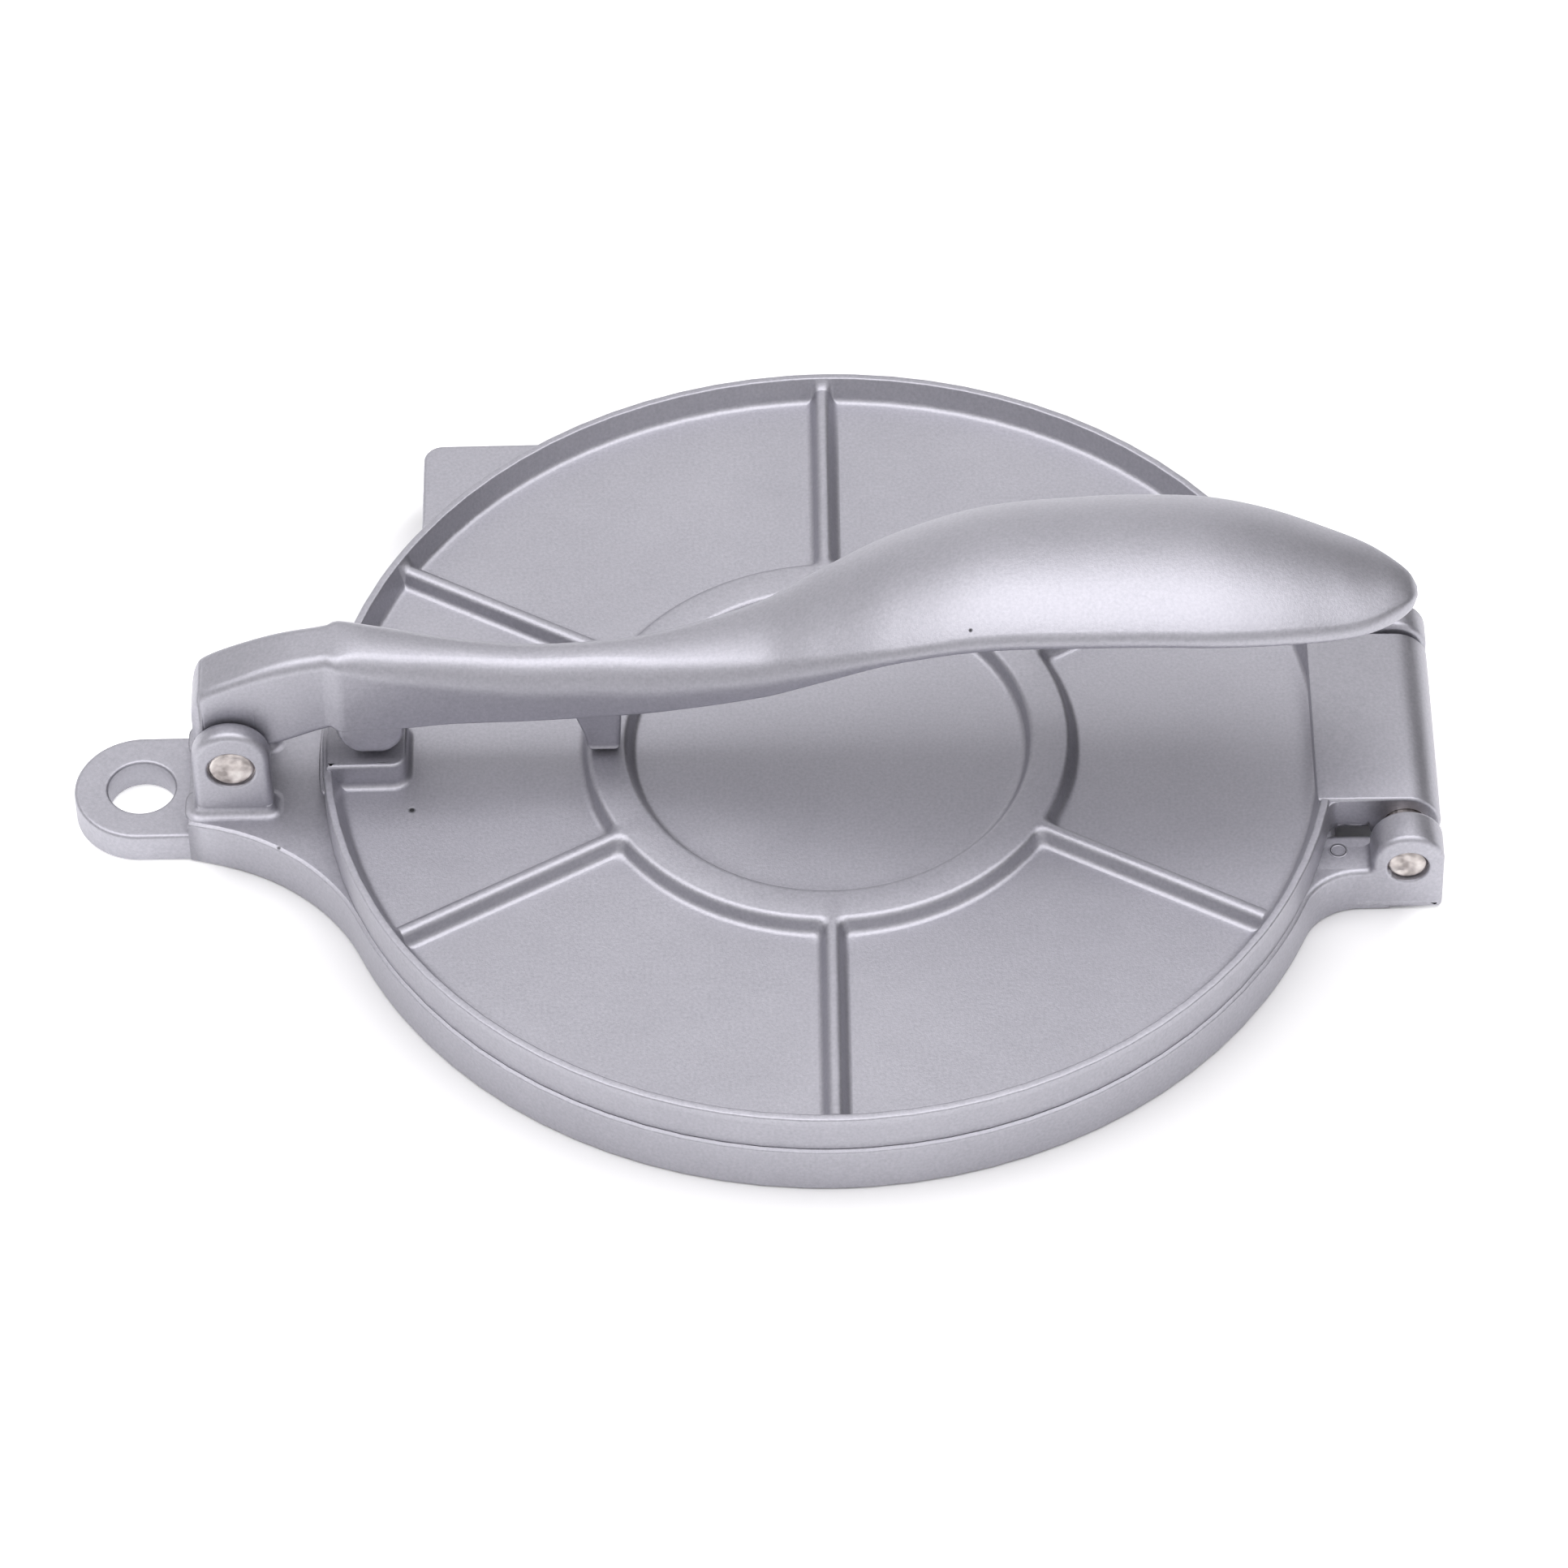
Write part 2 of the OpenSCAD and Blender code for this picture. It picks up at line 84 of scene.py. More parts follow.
EYE_X, EYE_R, TAB_HALF, TAB_T, STEP_X = -138.5, 6.8, 13.6, 7.0, -128.5
FLARE_R = 45.0
EAR_IN, EAR_OUT, EAR_HALF, EAR_TOP = 6.6, 11.4, 7.8, 25.8
FORK_IN, FORK_OUT, FORK_EAR, FORK_TOP = 25.0, 32.3, 7.2, 13.4
KNUCKLE_NEAR, KNUCKLE_FAR, TAB_FROM, TAB_LEVEL = -21.2, 24.2, 96.8, 106.0
LUG_X, LUG_Y, LUG_T, LUG_ROUND, LUG_FROM, LUG_TO = 82.8, 86.0, 4.8, 4.0, 53.0, 61.5
NOSE_X, NOSE_HALF, NOSE_LOW, PAD_Z, PAD_X, PAD_HALF = -91.1, 6.9, 20.9, 20.7, -84.3, 8.1

# %% [markdown]
# ## Tools for outlines and profiles
#
# A cast edge is never sharp. One helper therefore takes the corners of a polyline and swaps each
# for an arc that touches both of its sides. The same helper serves plan outlines, which are
# closed, and wall profiles, which are open.


# %% Round the corners of a polyline
def rounded(points, radii, steps=5, closed=False):
    """Polyline with arcs for corners. An arc of radius r touches both sides of a corner whose half
    angle is h at a distance r / tan(h) from it, and its centre lies r / sin(h) along the corner's
    bisector. A short side limits the arc that it carries."""
    p = np.asarray(points, float)
    r = np.broadcast_to(np.asarray(radii, float), len(p)).copy()
    out = []
    for i in range(len(p)):
        if not closed and i in (0, len(p) - 1) or r[i] <= 0:
            out.append(p[i][None])
            continue
        a, b = p[i - 1] - p[i], p[(i + 1) % len(p)] - p[i]
        la, lb = np.linalg.norm(a), np.linalg.norm(b)
        a, b = a / la, b / lb
        half = math.acos(np.clip(a @ b, -1, 1)) / 2
        if half > math.pi / 2 - 1e-3:
            out.append(p[i][None])
            continue
        reach = min(r[i] / math.tan(half), 0.499 * la, 0.499 * lb)
        radius = reach * math.tan(half)
        centre = p[i] + (a + b) / np.linalg.norm(a + b) * radius / math.sin(half)
        e0, e1 = p[i] + a * reach - centre, p[i] + b * reach - centre
        turn = math.acos(np.clip(e0 @ e1 / radius**2, -1, 1))
        s = np.linspace(0, 1, steps + 1)[:, None]
        out.append(centre + (np.sin((1 - s) * turn) * e0 + np.sin(s * turn) * e1) / math.sin(turn))
    return np.vstack(out)


def normals(loop):
    """Unit normals that point out of a closed anticlockwise loop: each is the mean direction of
    the two sides at a point, turned a quarter turn to the right."""
    d = np.roll(loop, -1, 0) - loop
    d = d / np.maximum(np.linalg.norm(d, axis=1, keepdims=True), 1e-9)
    t = d + np.roll(d, 1, 0)
    t = t / np.linalg.norm(t, axis=1, keepdims=True)
    scale = 1 / np.clip((t * d).sum(1, keepdims=True), 0.5, 1)
    return np.stack([t[:, 1], -t[:, 0]], 1) * scale


def dense(loop, step, closed=True):
    """Adds points to the long sides of a polyline, so that none is longer than step."""
    nxt = np.roll(loop, -1, 0) if closed else loop[1:]
    start = loop if closed else loop[:-1]
    n = np.maximum(1, np.ceil(np.linalg.norm(nxt - start, axis=1) / step).astype(int))
    out = [a + (b - a) * (np.arange(k) / k)[:, None] for a, b, k in zip(start, nxt, n)]
    return np.vstack(out if closed else out + [loop[-1:]])


corner = rounded([[0, 0], [10, 0], [10, 10]], 2)
print("a rounded corner has", len(corner), "points")

# %% [markdown]
# ## Meshes from grids
#
# A surface is worked out as a grid of points, rows by columns, and its faces follow from the
# grid's shape alone. A shell collects several such grids, which belong to one casting and run
# into each other as the casting's bosses do. Each closed grid is turned so that its volume is
# positive, which means that its faces point outwards.


# %% Grid faces and shells
def grid_faces(rows, cols, wrap_rows=False):
    """Quads between neighbouring rows and columns. The last column joins the first, and so does
    the last row where wrap_rows is set."""
    i = np.arange(rows if wrap_rows else rows - 1)[:, None]
    j = np.arange(cols)[None, :]
    i2, j2 = (i + 1) % rows, (j + 1) % cols
    return np.stack([i * cols + j, i * cols + j2, i2 * cols + j2, i2 * cols + j], -1).reshape(-1, 4)


def volume(points, tris):
    """Signed volume: a sixth of the sum, over all triangles, of the triple product of corners."""
    a, b, c = (points[tris[:, k]] for k in range(3))
    return np.einsum("ij,ij->i", a, np.cross(b, c)).sum() / 6


class Shell:
    """The surfaces of one casting, gathered as points, quads and triangles."""

    def __init__(self):
        """Starts with no points and no faces."""
        self.points, self.quads, self.tris, self.count = [], [], [], 0

    def add(self, points, quads, tris=None):
        """Adds one closed surface, and turns its faces over where its signed volume is negative."""
        quads = np.asarray(quads, int).reshape(-1, 4)
        tris = np.zeros((0, 3), int) if tris is None else np.asarray(tris, int).reshape(-1, 3)
        split = np.vstack([quads[:, [0, 1, 2]], quads[:, [0, 2, 3]], tris])
        if volume(points, split) < 0:
            quads, tris = quads[:, ::-1], tris[:, ::-1]
        self.points.append(points)
        self.quads.append(quads + self.count)
        self.tris.append(tris + self.count)
        self.count += len(points)
        return self

    def grid(self, surface, wrap_rows=False, poles=None):
        """Adds a grid whose columns wrap. Two poles close its first and last row with fans."""
        rows, cols, _ = surface.shape
        points, quads = surface.reshape(-1, 3), grid_faces(rows, cols, wrap_rows)
        if poles is None:
            return self.add(points, quads)
        j = np.arange(cols)
        k, last = (j + 1) % cols, (rows - 1) * cols
        first_fan = np.stack([np.full(cols, len(points)), k, j], 1)
        last_fan = np.stack([np.full(cols, len(points) + 1), last + j, last + k], 1)
        points = np.vstack([points, np.asarray(poles, float)])
        return self.add(points, quads, np.vstack([first_fan, last_fan]))

    def piece(self, name, body, material, slot, *nodes):
        """Makes the Blender object, smooth all over, riding on its body in place of its nodes."""
        points = np.vstack(self.points) * MM
        quads, tris = np.vstack(self.quads), np.vstack(self.tris)
        mesh = bpy.data.meshes.new(name)
        mesh.vertices.add(len(points))
        mesh.vertices.foreach_set("co", points.astype(np.float32).ravel())
        loops = np.concatenate([quads.ravel(), tris.ravel()]).astype(np.int32)
        mesh.loops.add(len(loops))
        mesh.loops.foreach_set("vertex_index", loops)
        sizes = np.concatenate([np.full(len(quads), 4), np.full(len(tris), 3)])
        mesh.polygons.add(len(sizes))
        mesh.polygons.foreach_set("loop_start", (np.cumsum(sizes) - sizes).astype(np.int32))
        mesh.update(calc_edges=True)
        mesh.validate()
        mesh.polygons.foreach_set("use_smooth", np.ones(len(mesh.polygons), bool))
        mesh.materials.append(material)
        obj = bpy.data.objects.new(name, mesh)
        bpy.context.scene.collection.objects.link(obj)
        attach(obj, body)
        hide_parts(*nodes)
        print(name, "has", len(quads) * 2 + len(tris), "triangles")


# %% [markdown]
# Many features of a casting are flat plates with a plan outline: ears, tabs, lugs and pads. One
# function makes them all. It carries a rounded edge round the outline and round each hole, and it
# closes both faces with triangles. A narrow flat band inside each rounded edge keeps the large
# faces evenly shaded.


# %% Plates with rounded edges
def edge_rows(low, high, r_low, r_high, steps=4, hold=0.3):
    """Rows from one face to the other, as (inset, height): a flat band, a quarter arc of r_low, the
    wall, a quarter arc of r_high and another flat band. On an arc of radius r the inset is
    r - r sin(a) while the height is r - r cos(a)."""
    a = np.linspace(0, math.pi / 2, steps + 1)
    foot = np.stack([r_low * (1 - np.sin(a)), low + r_low * (1 - np.cos(a))], 1)
    head = np.stack([r_high * (1 - np.cos(a)), high - r_high * (1 - np.sin(a))], 1)
    return np.vstack([[r_low + hold, low], foot, head, [r_high + hold, high]])


def plate(shell, loop, low, high, edge, holes=(), plane="xy", steps=4, hole_edge=0.35,
          edge_low=None):
    """A plate between two heights with outline `loop` (anticlockwise) and optional holes. Each row
    is the outline drawn in by the row's inset; a hole's rows are drawn out instead."""
    place = {"xy": lambda u, v, w: (u, v, w), "xz": lambda u, v, w: (u, w, v)}[plane]
    edge_low = edge if edge_low is None else edge_low
    points, quads, caps, count = [], [], ([], []), 0
    for k, path in enumerate([loop, *holes]):
        e0, e1 = (edge_low, edge) if k == 0 else (hole_edge, hole_edge)
        rows = edge_rows(low, high, e0, e1, steps)
        n = normals(path) * (1 if k == 0 else -1)
        flat = path[None] - n[None] * rows[:, 0][:, None, None]
        depth = np.broadcast_to(rows[:, 1][:, None], flat.shape[:2])
        points.append(np.stack(place(flat[..., 0], flat[..., 1], depth), -1).reshape(-1, 3))
        faces = grid_faces(len(rows), len(path)) + count
        quads.append(faces if k == 0 else faces[:, ::-1])
        caps[0].append((flat[0], count))
        caps[1].append((flat[-1], count + (len(rows) - 1) * len(path)))
        count += len(points[-1])
    tris = []
    for side, cap in enumerate(caps):
        index = np.concatenate([start + np.arange(len(ring)) for ring, start in cap])
        found = np.array(tessellate_polygon([[Vector((*p, 0)) for p in ring] for ring, _ in cap]))
        flat = np.vstack([ring for ring, _ in cap])[found]
        twice = np.cross(flat[:, 1] - flat[:, 0], flat[:, 2] - flat[:, 0])
        found = np.where((twice < 0)[:, None], found[:, ::-1], found)
        tris.append(index[found if side else found[:, ::-1]])
    shell.add(np.vstack(points), np.vstack(quads), np.vstack(tris))


def circle(x, y, r, n=64):
    """A closed circle of n points: x + r cos a and y + r sin a, for a once round."""
    a = np.arange(n) / n * 2 * math.pi
    return np.stack([x + r * np.cos(a), y + r * np.sin(a)], 1)


def arc(x, y, r, start, stop, n):
    """n points of a circle, from one angle in degrees to another: x + r cos a and y + r sin a."""
    a = np.radians(np.linspace(start, stop, n))
    return np.stack([x + r * np.cos(a), y + r * np.sin(a)], 1)


def fillet_ring(shell, loop, z, r, steps=6, sink=0.6):
    """The concave fillet where a boss with outline `loop` stands on a face at z: its section is the
    corner left outside a circle of radius r that touches wall and face. It runs on a little below
    both of them, so that its smooth shading ends out of sight."""
    a = np.linspace(0, math.pi / 2, steps + 1)
    out = np.concatenate([[-0.03], r * (1 - np.cos(a)), [r + 0.4, r + 0.4, -sink, -sink]])
    rise = np.concatenate([[r + 0.4], r * (1 - np.sin(a)), [-0.03, -sink, -sink, r + 0.4]])
    flat = loop[None] + normals(loop)[None] * out[:, None, None]
    height = np.broadcast_to((z + rise)[:, None], flat.shape[:2])
    shell.grid(np.concatenate([flat, height[..., None]], -1), wrap_rows=True)


# %% [markdown]
# ## The ribbed disc
#
# Both castings are discs with six ribs and a ring. A plain polar grid would cut across the ribs
# and leave their edges jagged. Here the columns near a rib keep a constant distance from it, and
# only those in between spread out like spokes, so that the grid's lines run along every edge. The
# relief is one function of the distance to the nearest edge of the ribs and ring in plan, which
# also gives the small fillets where a rib meets the ring.


# %% Relief of ribs and ring
def plateau(height, draft, top_round, foot_round, flat=6.0):
    """A wall's profile, as (distance outside the top edge, height): flat top, drafted wall, flat
    floor, with both corners rounded."""
    return rounded([[-flat, height], [0, height], [draft, 0], [draft + flat, 0]],
                   [0, top_round, foot_round, 0], steps=6)


def rib_distance(x, y):
    """Distance across to the nearest rib's centre line: the angle is folded into one sector, and
    the distance is the radius times the sine of the folded angle."""
    r, a = np.hypot(x, y), np.degrees(np.arctan2(y, x)) - RIB_ANGLE
    sector = 360.0 / RIB_COUNT
    folded = np.radians(np.abs((a + sector / 2) % sector - sector / 2))
    return r * np.sin(folded)


def smooth_min(a, b, k):
    """The smaller of two distances, with a parabolic blend of width k where they are alike."""
    h = np.clip(0.5 + 0.5 * (b - a) / k, 0, 1)
    return b + (a - b) * h - k * h * (1 - h)


def relief(x, y, profile, inside=False, width=2.2, far=9.0):
    """Height of ribs and ring over the floor: the profile at the distance to their joint outline.
    The ribs start at the ring, or at the middle where `inside` is set; elsewhere they count as
    `far` away. `width` is that of the fillets in plan."""
    r = np.hypot(x, y)
    ring = np.abs(r - RING_MID) - RING_HALF
    rib = rib_distance(x, y) - RIB_W / 2
    if not inside:
        rib = np.where(r > RING_MID, rib, far)
    s = smooth_min(ring, rib, width)
    return np.interp(s, profile[:, 0], profile[:, 1])


def join(a, b, power=8):
    """The larger of two heights above a floor, with a fillet where they meet: the power mean."""
    return (np.maximum(a, 0) ** power + np.maximum(b, 0) ** power) ** (1 / power)


# The pans lie half a millimetre above the solid's and the ribs' crests half a millimetre below
PAN_Z, CREST_Z = FLOOR_Z + 0.5, RIB_Z - 0.5
lid_wall = plateau(CREST_Z - PAN_Z, 1.3, 1.5, 1.6)
print("a rib's section has", len(lid_wall), "points")


# %% Columns that follow the ribs
def spokes(profile, between, lock, spread=7.0):
    """Columns of the grid as a function of radius. Near a rib a column keeps a distance d from its
    centre line, so its angle is asin(d / r). Between two ribs the angle is shared out evenly.
    Inside the radius `lock` the angles stay as they are there."""
    near = np.unique(np.round(np.concatenate([
        [0, RIB_W / 4], RIB_W / 2 + profile[1:-1, 0], np.linspace(3.2, spread, 5)]), 4))
    near = near[near >= 0]
    sector = math.radians(360.0 / RIB_COUNT)

    def angles(r):
        """The columns' angles, with a row for each radius, one sector after the other."""
        r = np.maximum(np.atleast_1d(r), lock)[:, None]
        side = np.arcsin(near[None] / r)
        last = side[:, -1:]
        columns = []
        for k in range(RIB_COUNT):
            a = math.radians(RIB_ANGLE) + k * sector
            middle = a + last + between(k)[None] * (sector - 2 * last)
            columns += [a + side, middle, a + sector - side[:, :0:-1]]
        return np.concatenate(columns, 1)

    return angles


even = np.arange(1, 12) / 12
lid_spokes = spokes(lid_wall, lambda k: even, RING_IN - 4)
print("the lid has", lid_spokes(LID_R).shape[1], "columns")

# %% [markdown]
# ## The lid
#
# The lid's section runs from the middle over the floor, up the rim's drafted inner wall, over its
# narrow top and down the outer wall to the pressing face. Carried round the axis it gives the
# disc. The ribs and the ring are added to the floor, and they die away into the rim's wall
# nearly two millimetres below its top.


# %% Lid disc
def radii(low, high, step):
    """Radii from low, each larger by step, that stay below high."""
    return np.arange(low, high, step)


rim_in = LID_R - RIM_W
rim_section = rounded(
    [[RING_OUT + 12, PAN_Z], [rim_in - RIM_DRAFT, PAN_Z], [rim_in, RIM_Z],
     [LID_R - 0.1, RIM_Z - 0.1], [LID_R, RIM_Z - 1.7], [LID_R, LID_Z], [LID_R - 12, LID_Z]],
    [0, 1.5, 0.4, 0.45, 1.5, 0.08, 0], steps=4)
top_edge = int(np.argmax(rim_section[:, 0] > LID_R - 0.5))
ring_steps = RING_HALF + lid_wall[1:-1, 0]
inner = np.unique(np.round(np.concatenate([
    radii(3, RING_IN - 4, 3.0), RING_MID - ring_steps, RING_MID + ring_steps,
    radii(RING_OUT + 2.4, RING_OUT + 5, 0.4), radii(RING_OUT + 6, rim_in - 7, 3.0),
    radii(rim_in - 6.5, rim_in - 3.6, 0.45), rim_section[1:top_edge, 0]]), 4))
outer = dense(rim_section[top_edge:-1], 1.6, closed=False)
below = radii(10, LID_R - 3, 8.0)[::-1]
outer = np.vstack([outer, np.column_stack([below, np.full(len(below), LID_Z)])])
lid = Shell()
angle = lid_spokes(np.concatenate([inner, outer[:, 0]]))
reach = np.concatenate([inner, outer[:, 0]])[:, None]
x, y = reach * np.cos(angle), reach * np.sin(angle)
wall_z = np.interp(inner, rim_section[:top_edge, 0], rim_section[:top_edge, 1] - PAN_Z)
z_top = PAN_Z + join(relief(x, y, lid_wall)[: len(inner)], wall_z[:, None])
z = np.vstack([z_top, np.repeat(outer[:, 1][:, None], x.shape[1], 1)])
lid.grid(np.stack([x, y, z], -1), poles=[[0, 0, PAN_Z], [0, 0, LID_Z]])
print("lid disc:", z.shape[0], "rows by", z.shape[1], "columns")

# %% [markdown]
# The pad stands out of the rim where the lever's nose lands, the lug is what a hand lifts the lid
# by, and the hinge tab runs level from the rim and turns down round the pin. Pad and lug are
# plates. The tab is a profile carried along the pin's direction; its inner end is sunk in the rim.

# %% Pad and lifting lug
pad_r = LID_R - 0.9
pad_turn = math.degrees(math.asin(PAD_HALF / pad_r))
pad_loop = dense(rounded(np.vstack([
    [[PAD_X, -PAD_HALF], [PAD_X, PAD_HALF]], arc(0, 0, pad_r, 180 - pad_turn, 180 + pad_turn, 13)]),
    [3.2, 3.2, 0.3] + [0] * 11 + [0.3], steps=8, closed=True), 1.5)
plate(lid, pad_loop, LID_Z + 1.5, PAD_Z, 0.7, steps=5)
fillet_ring(lid, pad_loop, PAN_Z, 1.3)
lug_loop = rounded(np.vstack([
    [[-LUG_FROM, LUG_Y], [-LUG_X, LUG_Y], [-LUG_X, LUG_TO]], arc(0, 0, LID_R - 1.2, 142, 120, 15)]),
    [0, LUG_ROUND, 0] + [0] * 15, steps=8, closed=True)
plate(lid, dense(lug_loop, 3), LID_Z, LID_Z + LUG_T, 0.7, edge_low=0.4)

# %% Hinge tab and knuckle
tab_section = rounded(np.vstack([
    [[TAB_FROM, LID_Z + 0.05], [TAB_FROM, RIM_Z + 0.03], [TAB_LEVEL, RIM_Z - 0.05]],
    arc(HINGE_X, HINGE_Z, KNUCKLE_R, 90, -180, 46),
    [[HINGE_X - KNUCKLE_R, LID_Z + 0.05]]]), [0, 0.3, 3] + [0] * 46 + [0], steps=3, closed=True)
plate(lid, dense(tab_section, 1.5)[::-1], KNUCKLE_NEAR, KNUCKLE_FAR, 0.6,
      holes=[circle(HINGE_X, HINGE_Z, HINGE_R + 0.06)], plane="xz")


def corner_fill(r, wall_r, y):
    """Outline of the fillet between a circle of radius wall_r round the origin and a wall on the
    line Y = y: a circle of radius r touches both, so its centre lies at a distance wall_r + r from
    the origin and r from the line."""
    cy = y - r
    cx = math.sqrt((wall_r + r) ** 2 - cy**2)
    sweep = np.linspace(math.pi / 2, math.pi + math.atan2(cy, cx), 13)
    return np.stack([cx + r * np.cos(sweep), cy + r * np.sin(sweep)], 1)


tab_fill = corner_fill(2.6, LID_R - 0.02, KNUCKLE_NEAR + 0.02)
tab_fill = np.vstack([tab_fill, [tab_fill[-1] * 0.985], [[tab_fill[0, 0] - 3, KNUCKLE_NEAR + 1.5]],
                      [[tab_fill[0, 0], KNUCKLE_NEAR + 1.5]]])
plate(lid, tab_fill[::-1], LID_Z + 0.1, RIM_Z - 0.6, 0.3)
print("fillet beside the tab:", len(tab_fill), "points")

# %% [markdown]
# ## The base
#
# The base has the same ribs below, in a hollow that the table hides. Its outline is the disc with
# an arm that narrows in two large flares towards the hanging eye. Seen from the middle the whole
# outline can be reached along straight lines, so one grid covers the top, the wall and the
# hollow: each column only ends at its own radius.


# %% Outline of disc and arm
# The flare's circle touches the disc and the side of the arm, which puts its centre here
FLARE_Y = TAB_HALF + FLARE_R
FLARE_X = -math.sqrt((BASE_R + FLARE_R) ** 2 - FLARE_Y**2)


def arm_outline(angle, inset, end_x):
    """Radius of the outline at an angle, drawn in by `inset`. Over the arm it is the nearer of the
    flare, where the spoke first meets the flare's circle, and of the arm's end; elsewhere it is
    the disc."""
    disc, bend = BASE_R - inset, FLARE_R + inset
    touch = math.atan2(FLARE_Y, -FLARE_X)
    off = np.abs(np.abs((angle + math.pi) % (2 * math.pi) - math.pi) - math.pi)
    c, s = np.cos(off), np.sin(off)
    along = -FLARE_X * c + FLARE_Y * s
    gap = along**2 - (FLARE_X**2 + FLARE_Y**2 - bend**2)
    flare = np.where(gap > 0, along - np.sqrt(np.maximum(gap, 0)), 1e3)
    end = -end_x / np.maximum(c, 1e-3)
    return np.where(off < touch, np.minimum(flare, end), disc)


flare_deg = math.degrees(math.atan2(FLARE_Y, -FLARE_X))
print("the arm spans", round(2 * flare_deg, 1), "degrees of the disc")

# %% Base disc, wall and hollow
# The upper edge is a narrow facet between two small rounds, LEDGE wide with its flat band. The
# hollow's mouth has a chamfer FOOT wide.
LEDGE, FOOT = 1.2, 0.4
under_wall = plateau(POCKET_Z - 1.0, RIB_DRAFT, 0.5, 1.2)
arm_share = np.concatenate([np.linspace(0.02, 0.40, 22), np.linspace(0.415, 0.5, 9)])
arm_share = np.unique(np.concatenate([arm_share, 1 - arm_share]))
base_spokes = spokes(under_wall, lambda k: arm_share if k == 2 else even, RING_IN - 4)
rim_angle = base_spokes(BASE_R)[0]
edge = arm_outline(rim_angle, 0, STEP_X)
loop = np.stack([edge * np.cos(rim_angle), edge * np.sin(rim_angle)], 1)
loop_n = normals(loop)
hollow = np.minimum(arm_outline(rim_angle, WALL, HOLLOW_END), edge - WALL)


def base_rows(inset, height):
    """A row round the base: the outline less the inset times its normals, at one height."""
    flat = loop - loop_n * inset
    return np.column_stack([flat, np.full(len(flat), height)])


base = Shell()
top = [base_rows(LEDGE, BASE_H) * [t, t, 1] for t in np.linspace(0.08, 0.96, 12)]
ledge = rounded([[LEDGE, BASE_H], [0.85, BASE_H], [0.06, BASE_H - 0.36], [0, BASE_H - 1.1]],
                [0, 0.3, 0.35, 0], steps=3)
foot_edge = edge_rows(0, BASE_H, 0.5, 0.5, steps=5)[:7]
side = [base_rows(inset, height) for inset, height in np.vstack([ledge, foot_edge[::-1]])]
inner = np.unique(np.round(np.concatenate([
    radii(3, 8, 2), HUB_R + np.array([0, 0.4, 1.0, 1.8]), radii(12, RING_IN - 4, 3.0),
    RING_MID - ring_steps, RING_MID + ring_steps, radii(RING_OUT + 2.4, RING_OUT + 5, 0.5),
    radii(RING_OUT + 6, 97, 3.0)]), 4))
angle = base_spokes(inner)
share = np.linspace(0, 1, 5)[1:, None]
reach = np.vstack([np.repeat(inner[:, None], angle.shape[1], 1),
                   inner[-1] + share * (hollow - 1.5 - inner[-1]), hollow - 0.5, hollow])
angle = np.vstack([angle, np.repeat(rim_angle[None], len(reach) - len(angle), 0)])
reach = np.minimum(reach, hollow)
x, y = reach * np.cos(angle), reach * np.sin(angle)
reach = np.hypot(x, y)
hub = np.interp(reach, [HUB_R, HUB_R + HUB_DRAFT], [POCKET_Z, 0.0])
ring_down = np.interp(np.abs(reach - RING_MID), [RING_HALF, RING_HALF + RIB_DRAFT], [POCKET_Z, 0.0])
down = join(join(relief(x, y, under_wall, inside=True), hub), ring_down)
z = POCKET_Z - np.minimum(down, POCKET_Z)
z[-1] = FOOT
ceiling = np.stack([x, y, z], -1)[::-1]
foot = (hollow + FOOT)[:, None] * np.stack([np.cos(rim_angle), np.sin(rim_angle)], 1)
foot = np.column_stack([foot, np.zeros(len(foot))])
body = np.concatenate([np.array(top), np.array(side), foot[None], ceiling])
base.grid(body, poles=[[0, 0, BASE_H], [0, 0, 0]])
print("base body:", body.shape[0], "rows by", body.shape[1], "columns")

# %% [markdown]
# The tab with the hanging eye is thinner than the arm, and a step joins them. Two ears rise from
# the arm for the lever, and two arms reach back from the disc for the lid's hinge. The ears
# stand in small fillets and the arms leave the disc in large ones, so that the metal fills well.

# %% Tab with the hanging eye
tab_loop = np.vstack([arc(EYE_X, 0, TAB_HALF, 90, 270, 49),
                      [[STEP_X + 3, -TAB_HALF], [STEP_X + 3, TAB_HALF]]])
plate(base, dense(tab_loop, 2), 0, TAB_T, 0.8, holes=[circle(EYE_X, 0, EYE_R)], edge_low=0.5,
      hole_edge=0.6, steps=5)

# %% Lever ears
ear_loop = np.vstack([
    [[PIVOT_X - EAR_HALF, BASE_H - 2], [PIVOT_X + EAR_HALF, BASE_H - 2]],
    arc(PIVOT_X, EAR_TOP, EAR_HALF, 0, 180, 41)])
for s in (-1, 1):
    y0, y1 = sorted((s * EAR_IN, s * EAR_OUT))
    plate(base, dense(ear_loop, 1.5), y0, y1, 1.5, holes=[circle(PIVOT_X, PIVOT_Z, PIVOT_R)],
          plane="xz", steps=6, hole_edge=0.5)
    foot_loop = rounded([[PIVOT_X - EAR_HALF, y0], [PIVOT_X + EAR_HALF, y0],
                         [PIVOT_X + EAR_HALF, y1], [PIVOT_X - EAR_HALF, y1]], 1.2, closed=True)
    fillet_ring(base, dense(foot_loop, 1.5), BASE_H, 1.9)

